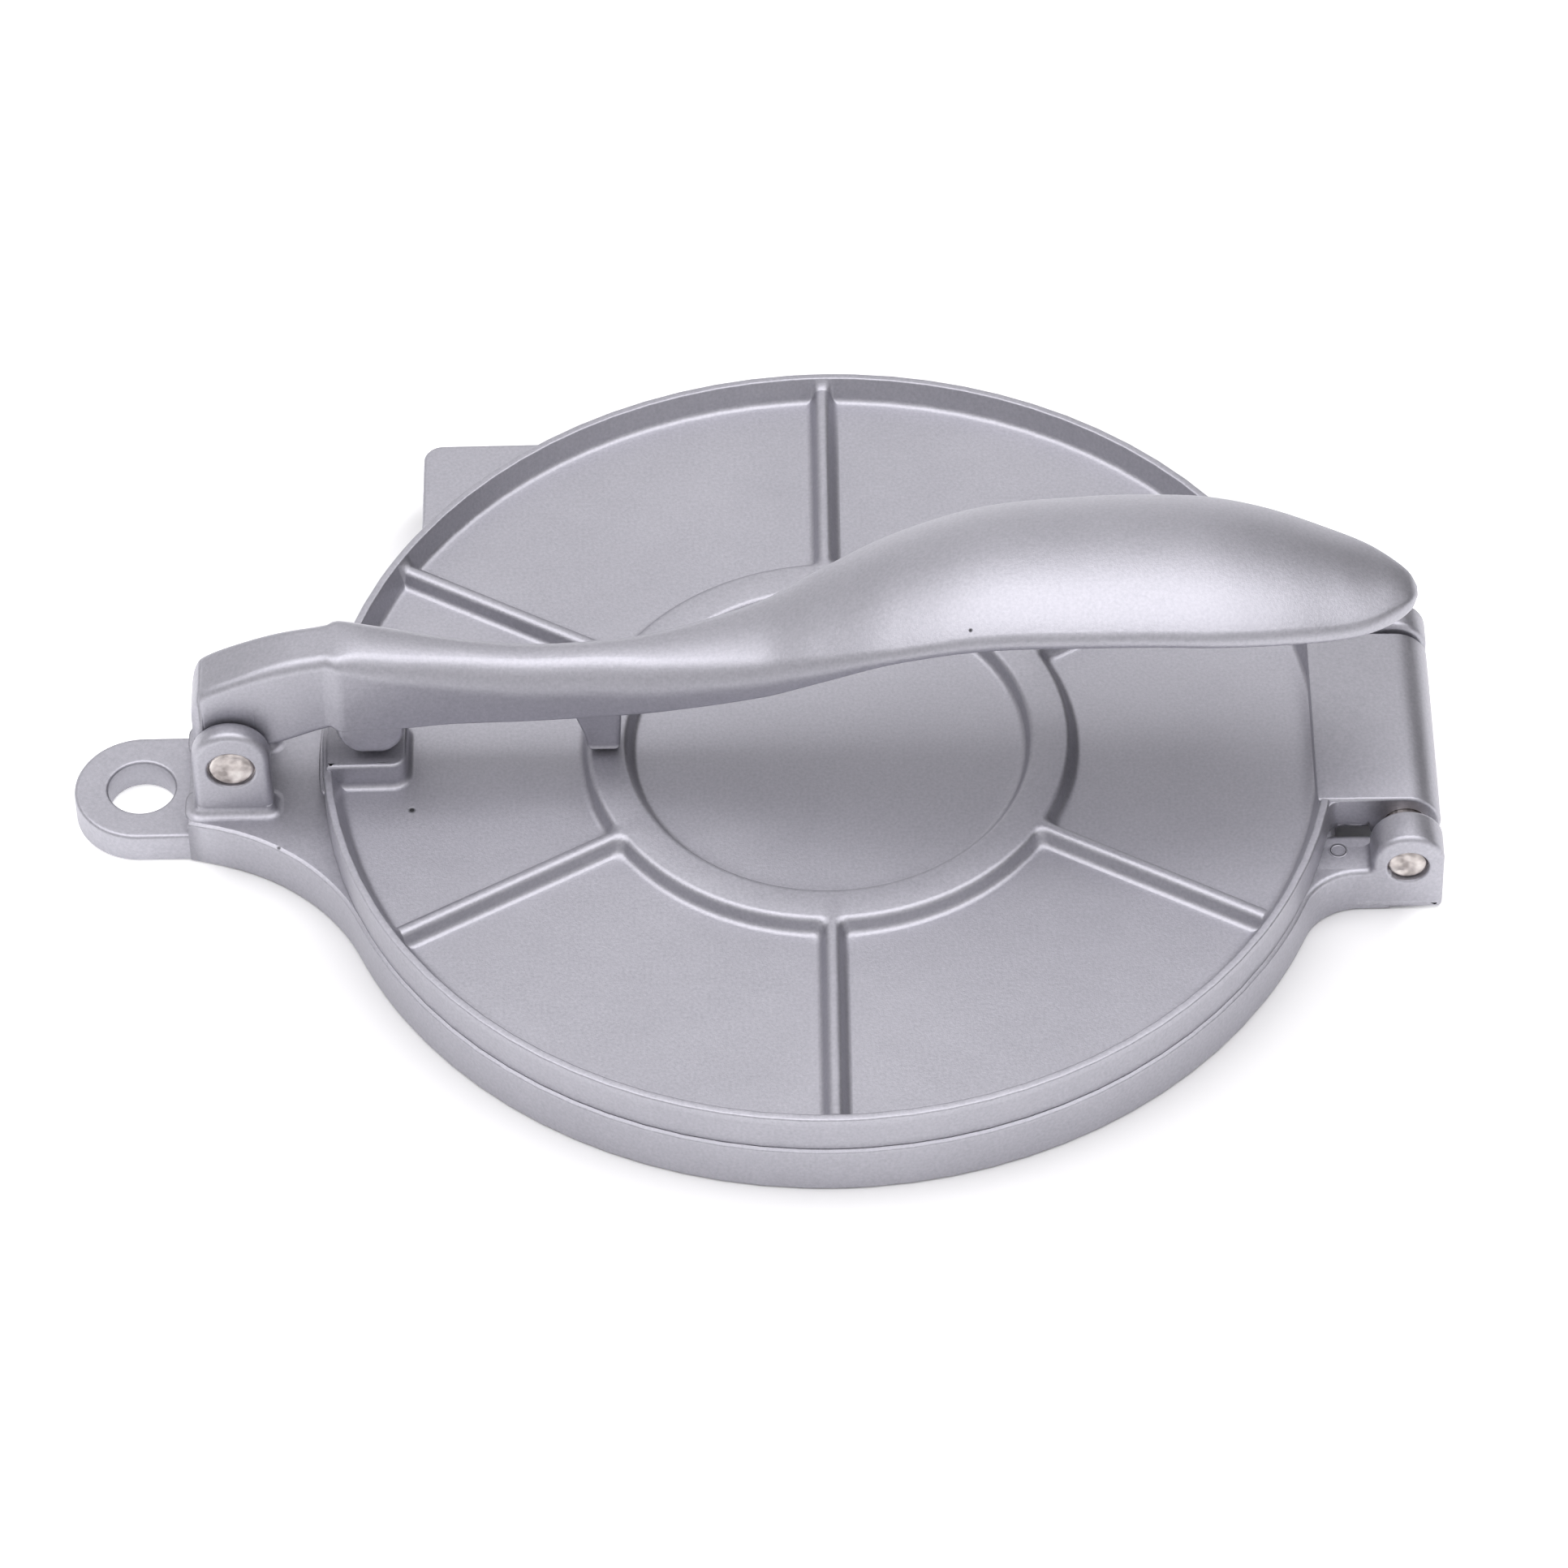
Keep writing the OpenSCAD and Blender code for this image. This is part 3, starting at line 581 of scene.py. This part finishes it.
# %% Fork arms and their ears
# The near arm is 0.8 mm further out than the solid's. The arms leave the disc at X = root
NEAR_OUT = FORK_OUT + 0.8
root = math.sqrt(BASE_R**2 - FORK_OUT**2)
fork_loop = rounded(np.vstack([
    [[root - 6, 0], [HINGE_X + FORK_EAR, 0]], arc(HINGE_X, FORK_TOP, FORK_EAR, 0, 180, 41),
    [[HINGE_X - FORK_EAR, BASE_H], [root - 6, BASE_H]]]),
    [0, 1.0] + [0] * 41 + [1.2, 0], steps=5, closed=True)
for y0, y1 in ((-NEAR_OUT, -FORK_IN), (FORK_IN, FORK_OUT)):
    plate(base, dense(fork_loop, 1.5), y0, y1, 1.3, holes=[circle(HINGE_X, HINGE_Z, HINGE_R)],
          plane="xz", steps=6, hole_edge=0.5)

# %% Fillets between the fork and the disc
# The near bar reaches 2.3 mm further inwards than the solid's. The low ring on its top is the
# ejector's mark
FORK_FILLET, NEAR_IN = 12.0, 22.7
MARK_X, MARK_Y, MARK_R, MARK_IN, MARK_H = 100.8, -27.1, 1.9, 1.2, 0.14
for sign, bar_in, bar_out in ((1, NEAR_IN, NEAR_OUT), (-1, FORK_IN, FORK_OUT)):
    bend = corner_fill(FORK_FILLET, BASE_R, -bar_out)
    last_deg = math.degrees(math.atan2(bend[-1, 1], bend[-1, 0]))
    follow = arc(0, 0, BASE_R - 0.03, last_deg - 1, last_deg - 9, 9)
    web = np.vstack([
        [[HINGE_X - FORK_EAR + 4, -bar_out + 0.02]], bend + [0, 0.02], follow, [follow[-1] * 0.96],
        [[root - 5, -bar_in]], [[HINGE_X - FORK_EAR + 4, -bar_in]]]) * [1, sign]
    web = dense(web[::-1] if sign > 0 else web, 1.5)
    plate(base, web, 0, BASE_H - 0.01, 1.2, edge_low=0.5, steps=5)
plate(base, circle(MARK_X, MARK_Y, MARK_R, 40), BASE_H - 1, BASE_H + MARK_H, MARK_H,
      holes=[circle(MARK_X, MARK_Y, MARK_IN, 40)], hole_edge=MARK_H)
print("fillets end", np.round(bend[-1], 1))

# %% [markdown]
# ## The lever
#
# The lever is one flowing form: a narrow upright block at the pivot, a neck that dips towards the
# lid and a broad grip that is crowned above and hollow below. It is a loft: a rounded rectangle
# whose height, width, corner radius, crown and hollow change smoothly along the length. Cubic
# pieces through a table of stations carry each of these values.

# %% Stations of the lever
# A row holds the place, top, underside, half width, radius of the upper and of the lower edge,
# lean, crown and hollow. G is the grip's height and L0 the place of the lever's end.
G, L0 = 64.6, PIVOT_X - BOSS_R
STATIONS = np.array([
    [L0, 35.2, 22.7, 6.3, 1.6, 2.2, 0.06, 0, 0],
    [L0 + 0.7, 37.3, 22.7, 6.3, 1.8, 2.2, 0.06, 0, 0],
    [L0 + 2.6, 39.8, 22.7, 6.3, 2.0, 2.2, 0.06, 0, 0],
    [-117.9, 43.0, 22.7, 6.3, 2.0, 2.2, 0.06, 0, 0],
    [-109, 46.6, 25.3, 6.25, 2.5, 2.2, 0.06, 0, 0],
    [-98.6, 48.9, 29.4, 6.25, 2.6, 2.0, 0.06, 0, 0],
    [-97.4, 48.9, 29.7, 7.1, 2.4, 0.6, 0.06, 0.2, 0],
    [-94.4, 48.6, 30.0, 7.2, 3.2, 0.6, 0.05, 0.8, 0],
    [-91.1, 47.8, 30.2, 7.2, 3.6, 0.6, 0.05, 1.3, 0],
    [-85, 46.4, 30.1, 7.1, 3.8, 0.8, 0.06, 1.6, 0],
    [-74.9, 44.2, 29.7, 6.6, 4.2, 2.2, 0.06, 2, 0],
    [-60, 42.3, 30, 6.5, 4.8, 2.2, 0.06, 2, 0],
    [-46.1, 42.6, 31.1, 6.8, 5.0, 2.2, 0.06, 2, 0],
    [-33, 43.5, 33.8, 8.1, 5.0, 2.0, 0.04, 2.2, 0],
    [-13.1, 48.0, 40.4, 10.9, 4.2, 2.0, 0, 2.5, 0.2],
    [-2.1, 52.8, 47.0, 13.7, 3.0, 2, 0, 3, 1.1],
    [13.1, 59.1, 55.7, 16.8, 1.6, 1.6, 0, 4.6, 2.5],
    [30.9, G - 0.3, G - 3.7, 18.8, 1.6, 1.6, 0, 5.6, 3.6],
    [52.1, G + 1.1, G - 2.3, 19.8, 1.6, 1.6, 0, 5.9, 3.6],
    [64, G + 1.1, G - 2.3, 19.95, 1.6, 1.6, 0, 5.9, 3.6],
    [75.9, G + 0.4, G - 3.0, 19.7, 1.6, 1.6, 0, 5.8, 3.6],
    [88, G - 1.3, G - 4.7, 17.8, 1.6, 1.6, 0, 5, 3.6],
    [100.8, G - 4, G - 7.4, 14.1, 1.6, 1.6, 0, 3.8, 2.5],
    [107.4, G - 5, G - 8.4, 11.1, 1.6, 1.6, 0, 2.5, 1.4],
    [112.2, G - 5.7, G - 9.1, 7.4, 1.5, 1.5, 0, 1.5, 0.2],
    [115.2, G - 6.4, G - 8.9, 4.16, 1.1, 1.1, 0, 0.6, 0],
    [116.4, G - 7.2, G - 8.2, 1.19, 0.4, 0.4, 0, 0, 0]])


def cubic(table, x):
    """Cubic Hermite pieces through the stations, each with the slope between its neighbours."""
    px = table[:, 0]
    lo, hi = np.maximum(np.arange(len(px)) - 1, 0), np.minimum(np.arange(len(px)) + 1, len(px) - 1)
    slope = (table[hi] - table[lo]) / (px[hi] - px[lo])[:, None]
    i = np.clip(np.searchsorted(px, x, "right") - 1, 0, len(px) - 2)
    d = (px[i + 1] - px[i])[:, None]
    t = (x - px[i])[:, None] / d
    return ((2 * t**3 - 3 * t**2 + 1) * table[i] + (t**3 - 2 * t**2 + t) * d * slope[i]
            + (3 * t**2 - 2 * t**3) * table[i + 1] + (t**3 - t**2) * d * slope[i + 1])


print("the lever has", len(STATIONS), "stations")


# %% Sections of the lever
# Round the pin the block is cut away as far as DRILL to each side and DRILL_TOP above the axis
DRILL, DRILL_TOP, END_R = 5.05, 5.3, 2.0


def sections(x, shrink, corner_steps=7, across=15):
    """Rings round the lever. A point at distance y from the middle is lifted by the crown above,
    or by the hollow below, times 1 - (y / half width) squared. The sides lean in: y shrinks by
    the share `lean` from the underside to the top. `shrink` draws a whole ring in. Round the
    pin the underside is lifted, and the boss with the bore fills the space."""
    _, top, low, w, r, q, lean, crown, hollow = cubic(STATIONS, x).T
    drill = np.abs(x - PIVOT_X) < DRILL
    low = np.where(drill, PIVOT_Z + DRILL_TOP, low)
    top, low, w = top - shrink, low + shrink * ~drill, w - shrink
    cap = np.minimum(w * 0.9, (top - low) * 0.48)
    r, q = np.minimum(r, cap)[:, None], np.minimum(q, cap)[:, None]
    a = np.linspace(0, math.pi / 2, corner_steps + 1)
    k = np.linspace(-1, 1, across + 2)[1:-1]
    f, g, zero = w[:, None] - r, w[:, None] - q, np.zeros(len(x))[:, None]
    arcs = [(f + r * np.cos(a), -r + r * np.sin(a)), (-f * k, zero * k),
            (-f - r * np.sin(a), -r + r * np.cos(a)), (-g - q * np.cos(a), q - q * np.sin(a)),
            (g * k, zero * k), (g + q * np.sin(a), q - q * np.cos(a))]
    y = np.concatenate([p[0] for p in arcs], 1)
    dz = np.concatenate([p[1] for p in arcs], 1)
    upper = np.arange(y.shape[1]) < y.shape[1] // 2
    flat = np.where(upper, top[:, None], low[:, None]) + dz
    lift = 1 - (y / w[:, None]) ** 2
    z = flat + lift * np.where(upper, crown[:, None], hollow[:, None])
    y = y * (1 - lean[:, None] * (flat - low[:, None]) / (top - low)[:, None])
    return np.stack([np.repeat(x[:, None], y.shape[1], 1), y, z], -1)


lever = Shell()
end = np.linspace(0, math.pi / 2, 7)[:-1]
places = np.unique(np.round(np.concatenate([
    [L0 + END_R], np.linspace(L0 + END_R + 0.3, -111, 22),
    PIVOT_X - DRILL + np.array([-0.1, 0.05]), PIVOT_X + DRILL + np.array([-0.05, 0.1]),
    np.linspace(-110, 100, 190), np.linspace(100.5, 116.4, 30)]), 3))
x = np.concatenate([L0 + END_R * (1 - np.sin(end)), places])
shrink = np.concatenate([END_R * (1 - np.cos(end)), np.zeros(len(places))])
order = np.argsort(x)
x, shrink = x[order], shrink[order]
loft = sections(x, shrink)
lever.grid(loft, poles=[loft[0].mean(0), loft[-1].mean(0)])
plate(lever, circle(PIVOT_X, PIVOT_Z, BOSS_R, 72), -BOSS_HALF, BOSS_HALF, 0.8,
      holes=[circle(PIVOT_X, PIVOT_Z, PIVOT_R + 0.06)], plane="xz")
print("lever loft:", loft.shape[0], "rings of", loft.shape[1])

# %% [markdown]
# Under the neck stand the nose, which bears on the lid's pad, and the small rest lug that stops
# the lever on the ring. Both are stacks of level, rounded rectangles. The nose is round below. The
# lug widens a little towards the neck and closes over a rounded foot.


# %% Nose and rest lug
def box_ring(x0, x1, half, height, corner, steps):
    """A level ring: the rectangle from x0 to x1 and from -half to half, with rounded corners."""
    ring = rounded([[x0, -half], [x1, -half], [x1, half], [x0, half]], corner, steps, closed=True)
    return np.column_stack([ring, np.full(len(ring), height)])


def upright(shell, table, foot_round, corner, steps=6):
    """An upright through rows of (height, x low, x high, half width), from the foot up. Its foot
    is drawn in along a quarter arc: by r - r sin(a) at a rise of r - r cos(a)."""
    t = np.asarray(table, float)
    a = np.linspace(0, math.pi / 2, steps + 1)
    rise = np.unique(np.concatenate([foot_round * (1 - np.cos(a)),
                                     np.linspace(foot_round, t[-1, 0] - t[0, 0], 14)]))
    x0, x1, w = (np.interp(rise + t[0, 0], t[:, 0], t[:, k]) for k in (1, 2, 3))
    c = np.clip(1 - rise / foot_round, 0, 1)
    inset = foot_round * (1 - np.sqrt(1 - c**2))
    rings = np.array([box_ring(a + e, b - e, half - e, h, max(corner - 0.5 * e, 0.6), 6)
                      for a, b, half, h, e in zip(x0, x1, w, rise + t[0, 0], inset)])
    shell.grid(rings, poles=[rings[0].mean(0), rings[-1].mean(0)])


def nose(shell, x, low, high, half_long, half_wide, steps=18):
    """The nose. Seen from the side it is half an ellipse: at a height of high - (high - low) cos b
    it reaches half_long sin b each way. Across, it is the lesser of half_wide and the half chord
    of a circle of radius 1.6 half_wide, blended. Its corners grow sharper towards the lever."""
    b = np.linspace(0.08, math.pi / 2, steps)
    rise = (high - low) * (1 - np.cos(b))
    chord = np.sqrt(3.2 * half_wide * rise - rise**2)
    wide = (half_wide**-6.0 + chord**-6.0) ** (-1 / 6)
    height = np.concatenate([low + rise, [high + 1.0, high + 3.0]])
    length = np.concatenate([half_long * np.sin(b), [half_long, half_long - 1.0]])
    wide = np.concatenate([wide, [half_wide - 0.15, half_wide - 1.0]])
    bevel = np.interp(height, [low + 3, high - 1], [2.6, 1.3])
    rings = np.array([box_ring(x - u, x + u, v, h, min(c, 0.8 * u, 0.8 * v), 8)
                      for h, u, v, c in zip(height, length, wide, bevel)])
    shell.grid(rings, poles=[[x, 0, low], [x, 0, height[-1]]])


nose(lever, NOSE_X, NOSE_LOW, high=30, half_long=6.8, half_wide=NOSE_HALF + 0.2)
upright(lever, [[RIB_Z + 0.3, -RING_OUT + 0.1, -RING_OUT + 6.5, 3.2],
                [RIB_Z + 4.5, -RING_OUT - 0.5, -RING_OUT + 6.8, 3.2],
                [33.5, -RING_OUT - 3.8, -RING_OUT + 7.4, 3.4]], foot_round=0.8, corner=1.1)

# %% [markdown]
# ## The pins
#
# The two steel pins were pressed in and peened: blows with a punch spread each end a little, so
# that it can't slip out. The end is a shallow dome with a dished middle and dents round it,
# sunk below the ear's face.


# %% Peened pins
def peened_pin(x, z, r, half, seed, rings=26, around=96, dents=9):
    """A pin along Y, as rings from the middle of one end to that of the other. An end's height is a
    shallow dome that falls off at its rim, minus a dish in the middle and a few dents, each a
    Gaussian of the distance."""
    rng = np.random.default_rng(seed)
    a = np.arange(around) / around * 2 * math.pi
    q = np.linspace(0.04, 1, rings)
    u, v = np.outer(q, np.cos(a)) * r, np.outer(q, np.sin(a)) * r
    fall = np.clip((q - 0.86) / 0.14, 0, 1)
    dome = -0.25 * q**4 - 0.5 * fall**2 * (3 - 2 * fall)
    ends = []
    for sign in (-1, 1):
        height = dome[:, None] * np.ones_like(u)
        for k in range(dents):
            away, way = 0.0, 0.0
            if k > 0:
                away, way = rng.uniform(0.35, 0.8) * r, rng.uniform(0, 2 * math.pi)
            d2 = (u - away * math.cos(way)) ** 2 + (v - away * math.sin(way)) ** 2
            depth, width = rng.uniform(0.14, 0.34), rng.uniform(0.14, 0.24) * r
            height = height - depth * np.exp(-d2 / (2 * width**2))
        height[-1] -= 0.15
        ends.append(np.stack([x + u, np.full_like(u, sign * half) + sign * height, z + v], -1))
    wall = [np.stack([x + r * np.cos(a), np.full_like(a, y), z + r * np.sin(a)], -1)
            for y in np.linspace(-half + 0.6, half - 0.6, 6)]
    rows = np.concatenate([ends[0], np.array(wall), ends[1][::-1]])
    return Shell().grid(rows, poles=[rows[0].mean(0), rows[-1].mean(0)])


lever_pin = peened_pin(PIVOT_X, PIVOT_Z, PIVOT_R, EAR_OUT - 0.4, 3)
hinge_pin = peened_pin(HINGE_X, HINGE_Z, HINGE_R, FORK_OUT, 8)
print("pins done")

# %% [markdown]
# ## Shader maths
#
# Materials are built from nodes, but written as sums and products. A small class wraps a socket;
# adding or multiplying two of them adds the Math node that does it.


# %% Sockets that calculate
class Value:
    """A socket of a node tree with arithmetic: a + b, a - b and a * b each add a Math node."""

    def __init__(self, tree, socket):
        """Keeps the socket and the tree that adds nodes beside it."""
        self.tree, self.socket = tree, socket

    def output(self, key):
        """Another output of the node that this socket belongs to."""
        return Value(self.tree, self.socket.node.outputs[key])

    def math(self, operation, other, flip=False):
        """A Math node of this value and another, in the reversed order where flip is set."""
        pair = (other, self) if flip else (self, other)
        return self.tree.node("ShaderNodeMath", {"operation": operation}, *pair)

    def __add__(self, other):
        return self.math("ADD", other)

    def __sub__(self, other):
        return self.math("SUBTRACT", other)

    def __rsub__(self, other):
        return self.math("SUBTRACT", other, flip=True)

    def __mul__(self, other):
        return self.math("MULTIPLY", other)

    __radd__, __rmul__ = __add__, __mul__


class Tree:
    """A material's node tree. node() takes a type, its settings and the values of its sockets."""

    def __init__(self, owner):
        """Takes a material or a world and clears its nodes."""
        self.owner = owner
        owner.use_nodes = True
        self.nodes, self.links = owner.node_tree.nodes, owner.node_tree.links
        self.nodes.clear()

    def node(self, kind, settings=None, *inputs, out=0, **named):
        """Adds a node and gives one of its outputs. A value is linked and a plain number or colour
        is set on the socket itself; None leaves the socket as it is."""
        n = self.nodes.new(kind)
        for key, value in (settings or {}).items():
            if key == "stops":
                while len(n.color_ramp.elements) < len(value):
                    n.color_ramp.elements.new(0.5)
                for e, (at, colour) in zip(n.color_ramp.elements, value):
                    e.position, e.color = at, (*colour, 1)
            else:
                setattr(n, key, value)
        pairs = [*enumerate(inputs), *((k.replace("_", " "), v) for k, v in named.items())]
        for key, value in pairs:
            if isinstance(value, Value):
                self.links.new(value.socket, n.inputs[key])
            elif value is not None:
                n.inputs[key].default_value = value
        return Value(self, n.outputs[out])

    def surface(self, shader, output="ShaderNodeOutputMaterial"):
        """Links a shader to the output and gives the finished material or world."""
        self.links.new(shader.socket, self.nodes.new(output).inputs["Surface"])
        return self.owner


def ramp(value, low, high):
    """0 below low, 1 above high and the smooth step 3 t^2 - 2 t^3 in between."""
    smooth = {"interpolation_type": "SMOOTHSTEP"}
    return value.tree.node("ShaderNodeMapRange", smooth, value, low, high)


def positive(value):
    """The larger of a value and 0."""
    return value.math("MAXIMUM", 0.0)


def blend(share, low, high):
    """The colour (1 - share) low + share high. A Mix node holds its colours at sockets 6 and 7."""
    sockets = share, None, None, None, None, None, low, high
    return share.tree.node("ShaderNodeMix", {"data_type": "RGBA"}, *sockets, out=2)


# %% [markdown]
# ## Finishes
#
# The castings have a satin silver surface: fine grain from the mould's coating, a broad soft
# sheen and faint clouds where the metal flowed. The pins are bare steel, a little warmer, with
# the pits and blotches of the punch.


# %% Satin cast aluminium
# Dark specks: place and radius in metres
SPECKS = [(-0.0834, -0.0145, 0.0146, 0.0009), (0.028, -0.0160, 0.0652, 0.0005),
          (-0.1100, -0.0205, 0.0106, 0.0006)]
ALLOY_DARK, ALLOY_LIGHT = (0.376, 0.372, 0.4131, 1), (0.5264, 0.5208, 0.5661, 1)
SPECK_DARK = (0.05, 0.05, 0.055, 1)


def cast_aluminium(name):
    """Satin metal. Its colour is the blend of dark and light by 0.45 cloud + 1.25 grain - 0.35,
    and is nearly black in the specks. The bump's height is 0.6 grain + 0.4 fine + 2.2 swell + 2
    clean, where clean is 0 in a speck and 1 beside it, and the roughness 0.40 + 0.08 grain + 0.05
    cloud."""
    t = Tree(bpy.data.materials.new(name))
    place = t.node("ShaderNodeTexCoord", out=3)
    grain = t.node("ShaderNodeTexNoise", None, place, Scale=1500.0, Detail=2.0, Roughness=0.6)
    fine = t.node("ShaderNodeTexNoise", None, place, Scale=4200.0, Detail=1.0)
    cloud = t.node("ShaderNodeTexNoise", None, place, Scale=38.0, Detail=3.0, Roughness=0.55)
    swell = t.node("ShaderNodeTexNoise", None, place, Scale=95.0, Detail=1.0)
    beside = []
    for *spot, r in SPECKS:
        away = t.node("ShaderNodeVectorMath", {"operation": "DISTANCE"}, place, spot, out=1)
        beside.append(t.node("ShaderNodeMapRange", None, away, r * 0.4, r))
    clean = math.prod(beside[1:], start=beside[0])
    metal = blend(cloud * 0.45 + grain * 1.25 - 0.35, ALLOY_DARK, ALLOY_LIGHT)
    colour = blend(clean, SPECK_DARK, metal)
    height = grain * 0.6 + fine * 0.4 + swell * 2.2 + clean * 2.0
    bump = t.node("ShaderNodeBump", None, Strength=0.4, Distance=0.00012, Height=height)
    rough = 0.40 + grain * 0.08 + cloud * 0.05
    return t.surface(t.node("ShaderNodeBsdfPrincipled", None, Base_Color=colour, Roughness=rough,
                            Metallic=0.88, Normal=bump))


alloy = cast_aluminium("satin_cast_aluminium")
print("finish:", alloy.name)


# %% Peened steel
STEEL_STOPS = [(0.34, (0.30, 0.27, 0.26)), (0.52, (0.58, 0.53, 0.51)), (0.72, (0.80, 0.76, 0.73))]


def peened_steel(name):
    """Warm bare metal. A broad noise picks the colour from three stops, a fine one is the bump's
    height, and the roughness is 0.28 + 0.22 of the fine one."""
    t = Tree(bpy.data.materials.new(name))
    place = t.node("ShaderNodeTexCoord", out=3)
    pits = t.node("ShaderNodeTexNoise", None, place, Scale=900.0, Detail=3.0, Roughness=0.65)
    blotch = t.node("ShaderNodeTexNoise", None, place, Scale=330.0, Detail=2.0)
    colour = t.node("ShaderNodeValToRGB", {"stops": STEEL_STOPS}, blotch)
    bump = t.node("ShaderNodeBump", None, Strength=0.5, Distance=0.0002, Height=pits)
    rough = 0.28 + pits * 0.22
    return t.surface(t.node("ShaderNodeBsdfPrincipled", None, Base_Color=colour, Roughness=rough,
                            Metallic=0.95, Normal=bump))


steel = peened_steel("peened_steel")

# %% Make the pieces
lid.piece("lid_casting", "lid", alloy, "casting", "lid")
base.piece("base_casting", "base", alloy, "casting", "base")
lever.piece("lever_casting", "lever", alloy, "casting", "lever")
lever_pin.piece("lever_pin_peened", "base", steel, "pin_steel", "lever_pin")
hinge_pin.piece("hinge_pin_peened", "base", steel, "pin_steel", "hinge_pin")

# %% [markdown]
# ## Camera, light and floor
#
# The camera is a long lens from above and in front, as a product picture is taken. Its place was
# worked out from the rims, ribs and pins in the photograph. A tent of even light gives the metal
# its broad sheen. Overhead it has a bright panel whose two wings reach down at the sides, with
# faint fringes before and behind it, and dark flags hang low at the right and the left. The floor
# stays white to the camera and keeps a soft shadow.

# %% Camera
# The focal length, the lens's centre and the frame are in pixels of the photograph
AZIMUTH, ELEVATION, ROLL = math.radians(0.049), math.radians(47.908), math.radians(-1.186)
DISTANCE, FOCAL, CENTRE_X, CENTRE_Y, FRAME = 1.63746, 9988.67, 1022.637, 981.726, 1932.0
SENSOR = 36.0
backward = Vector((math.sin(AZIMUTH) * math.cos(ELEVATION),
                   -math.cos(AZIMUTH) * math.cos(ELEVATION), math.sin(ELEVATION)))
level = Vector((math.cos(AZIMUTH), math.sin(AZIMUTH), 0))
steep = backward.cross(level)
right = level * math.cos(ROLL) + steep * math.sin(ROLL)
up = steep * math.cos(ROLL) - level * math.sin(ROLL)
camera = bpy.data.objects.new("camera", bpy.data.cameras.new("camera"))
bpy.context.scene.collection.objects.link(camera)
turned = Matrix((right, up, backward)).transposed().to_4x4()
camera.matrix_world = Matrix.Translation(backward * DISTANCE) @ turned
camera.data.sensor_width = SENSOR
camera.data.lens = SENSOR * FOCAL / FRAME
camera.data.shift_x = (FRAME / 2 - CENTRE_X) / FRAME
camera.data.shift_y = (CENTRE_Y - FRAME / 2) / FRAME
camera.data.clip_start, camera.data.clip_end = 0.05, 20
bpy.context.scene.camera = camera
print("lens in mm:", round(camera.data.lens, 1))

# %% World light
# Brightness of tent and panel, the fringes' shares of the panel's, and the left flag's depth
HORIZON, PANEL, FORE, AFT, LEFT_FLAG = 0.705, 2.14, 0.13, 0.05, 0.25
world = bpy.data.worlds.new("studio")
bpy.context.scene.world = world
sky = Tree(world)
towards = sky.node("ShaderNodeSeparateXYZ", None, sky.node("ShaderNodeTexCoord", out=0))
side_way, back_way, up_way = (towards.output(k) for k in range(3))
to_front, to_left = positive(back_way * -1.0), positive(side_way * -1.0)
to_right = positive(side_way)
# The panel begins where this sum passes 0.903. The wings raise it at the sides, but not behind
behind = ramp(back_way, 0.3, 0.65)
wings = positive(to_left - 0.2) * 0.45 + positive(to_right - 0.1) * 0.33
lifted = up_way + back_way * 0.05 + wings * (1 - behind) - behind * to_left * 0.15
panel = ramp(lifted, 0.903, 0.965)
fore = ramp(up_way + to_front * 0.35, 0.80, 0.95) * (1 - panel) * FORE
aft = ramp(back_way, 0.40, 0.70) * (1 - panel) * AFT
# Both flags end below the panel, and the right one leaves out the front
right_flag = ramp(side_way, 0.24, 0.44) * (1 - ramp(up_way, 0.60, 0.80))
right_flag = right_flag * (1 - ramp(to_front, 0.1, 0.5))
left_flag = LEFT_FLAG * ramp(to_left, 0.15, 0.6) * (1 - ramp(up_way, 0.5, 0.8))
glow = (HORIZON + PANEL * (panel + fore + aft)) * (1 - right_flag) * (1 - left_flag)
tent = sky.node("ShaderNodeBackground", None, (0.995, 0.985, 1.0, 1), glow)
sky.surface(tent, "ShaderNodeOutputWorld")

# %% Floor
# The floor's own light begins at these distances in metres, from the disc's middle and from a
# spot beside the near flare, so that the press keeps its shadow
FLOOR_HALF, FLOOR_DROP, FLOOR_GLOW = 3.0, 0.0002, 0.465
NEAR_DISC, NEAR_FLARE, FLARE_SPOT = (0.116, 0.128), (0.022, 0.045), (-0.10, -0.035, 0.0)
ground = Tree(bpy.data.materials.new("white_floor"))
paths = ground.node("ShaderNodeLightPath")
by_eye, by_gloss = paths.output("Is Camera Ray"), paths.output("Is Glossy Ray")
by_glass = paths.output("Is Transmission Ray")
spot = ground.node("ShaderNodeTexCoord", out=3)
away = ground.node("ShaderNodeVectorMath", {"operation": "LENGTH"}, spot, out=1)
beside = ground.node("ShaderNodeVectorMath", {"operation": "DISTANCE"}, spot, FLARE_SPOT, out=1)
clear = ramp(away, *NEAR_DISC) * ramp(beside, *NEAR_FLARE)
matt = ground.node("ShaderNodeBsdfDiffuse", None, (0.93, 0.93, 0.93, 1))
shine = ground.node("ShaderNodeEmission", None, (1, 1, 1, 1),
                    (by_eye + by_gloss + by_glass) * clear * FLOOR_GLOW)
floor_white = ground.surface(ground.node("ShaderNodeAddShader", None, matt, shine))
floor_mesh = bpy.data.meshes.new("floor")
corners = [(-1, -1), (1, -1), (1, 1), (-1, 1)]
floor_mesh.from_pydata([(FLOOR_HALF * u, FLOOR_HALF * v, 0) for u, v in corners],
                       [], [(0, 1, 2, 3)])
floor_mesh.materials.append(floor_white)
floor = bpy.data.objects.new("floor", floor_mesh)
floor.location = (0, 0, -FLOOR_DROP)
bpy.context.scene.collection.objects.link(floor)
bpy.context.scene.view_settings.view_transform = "Standard"
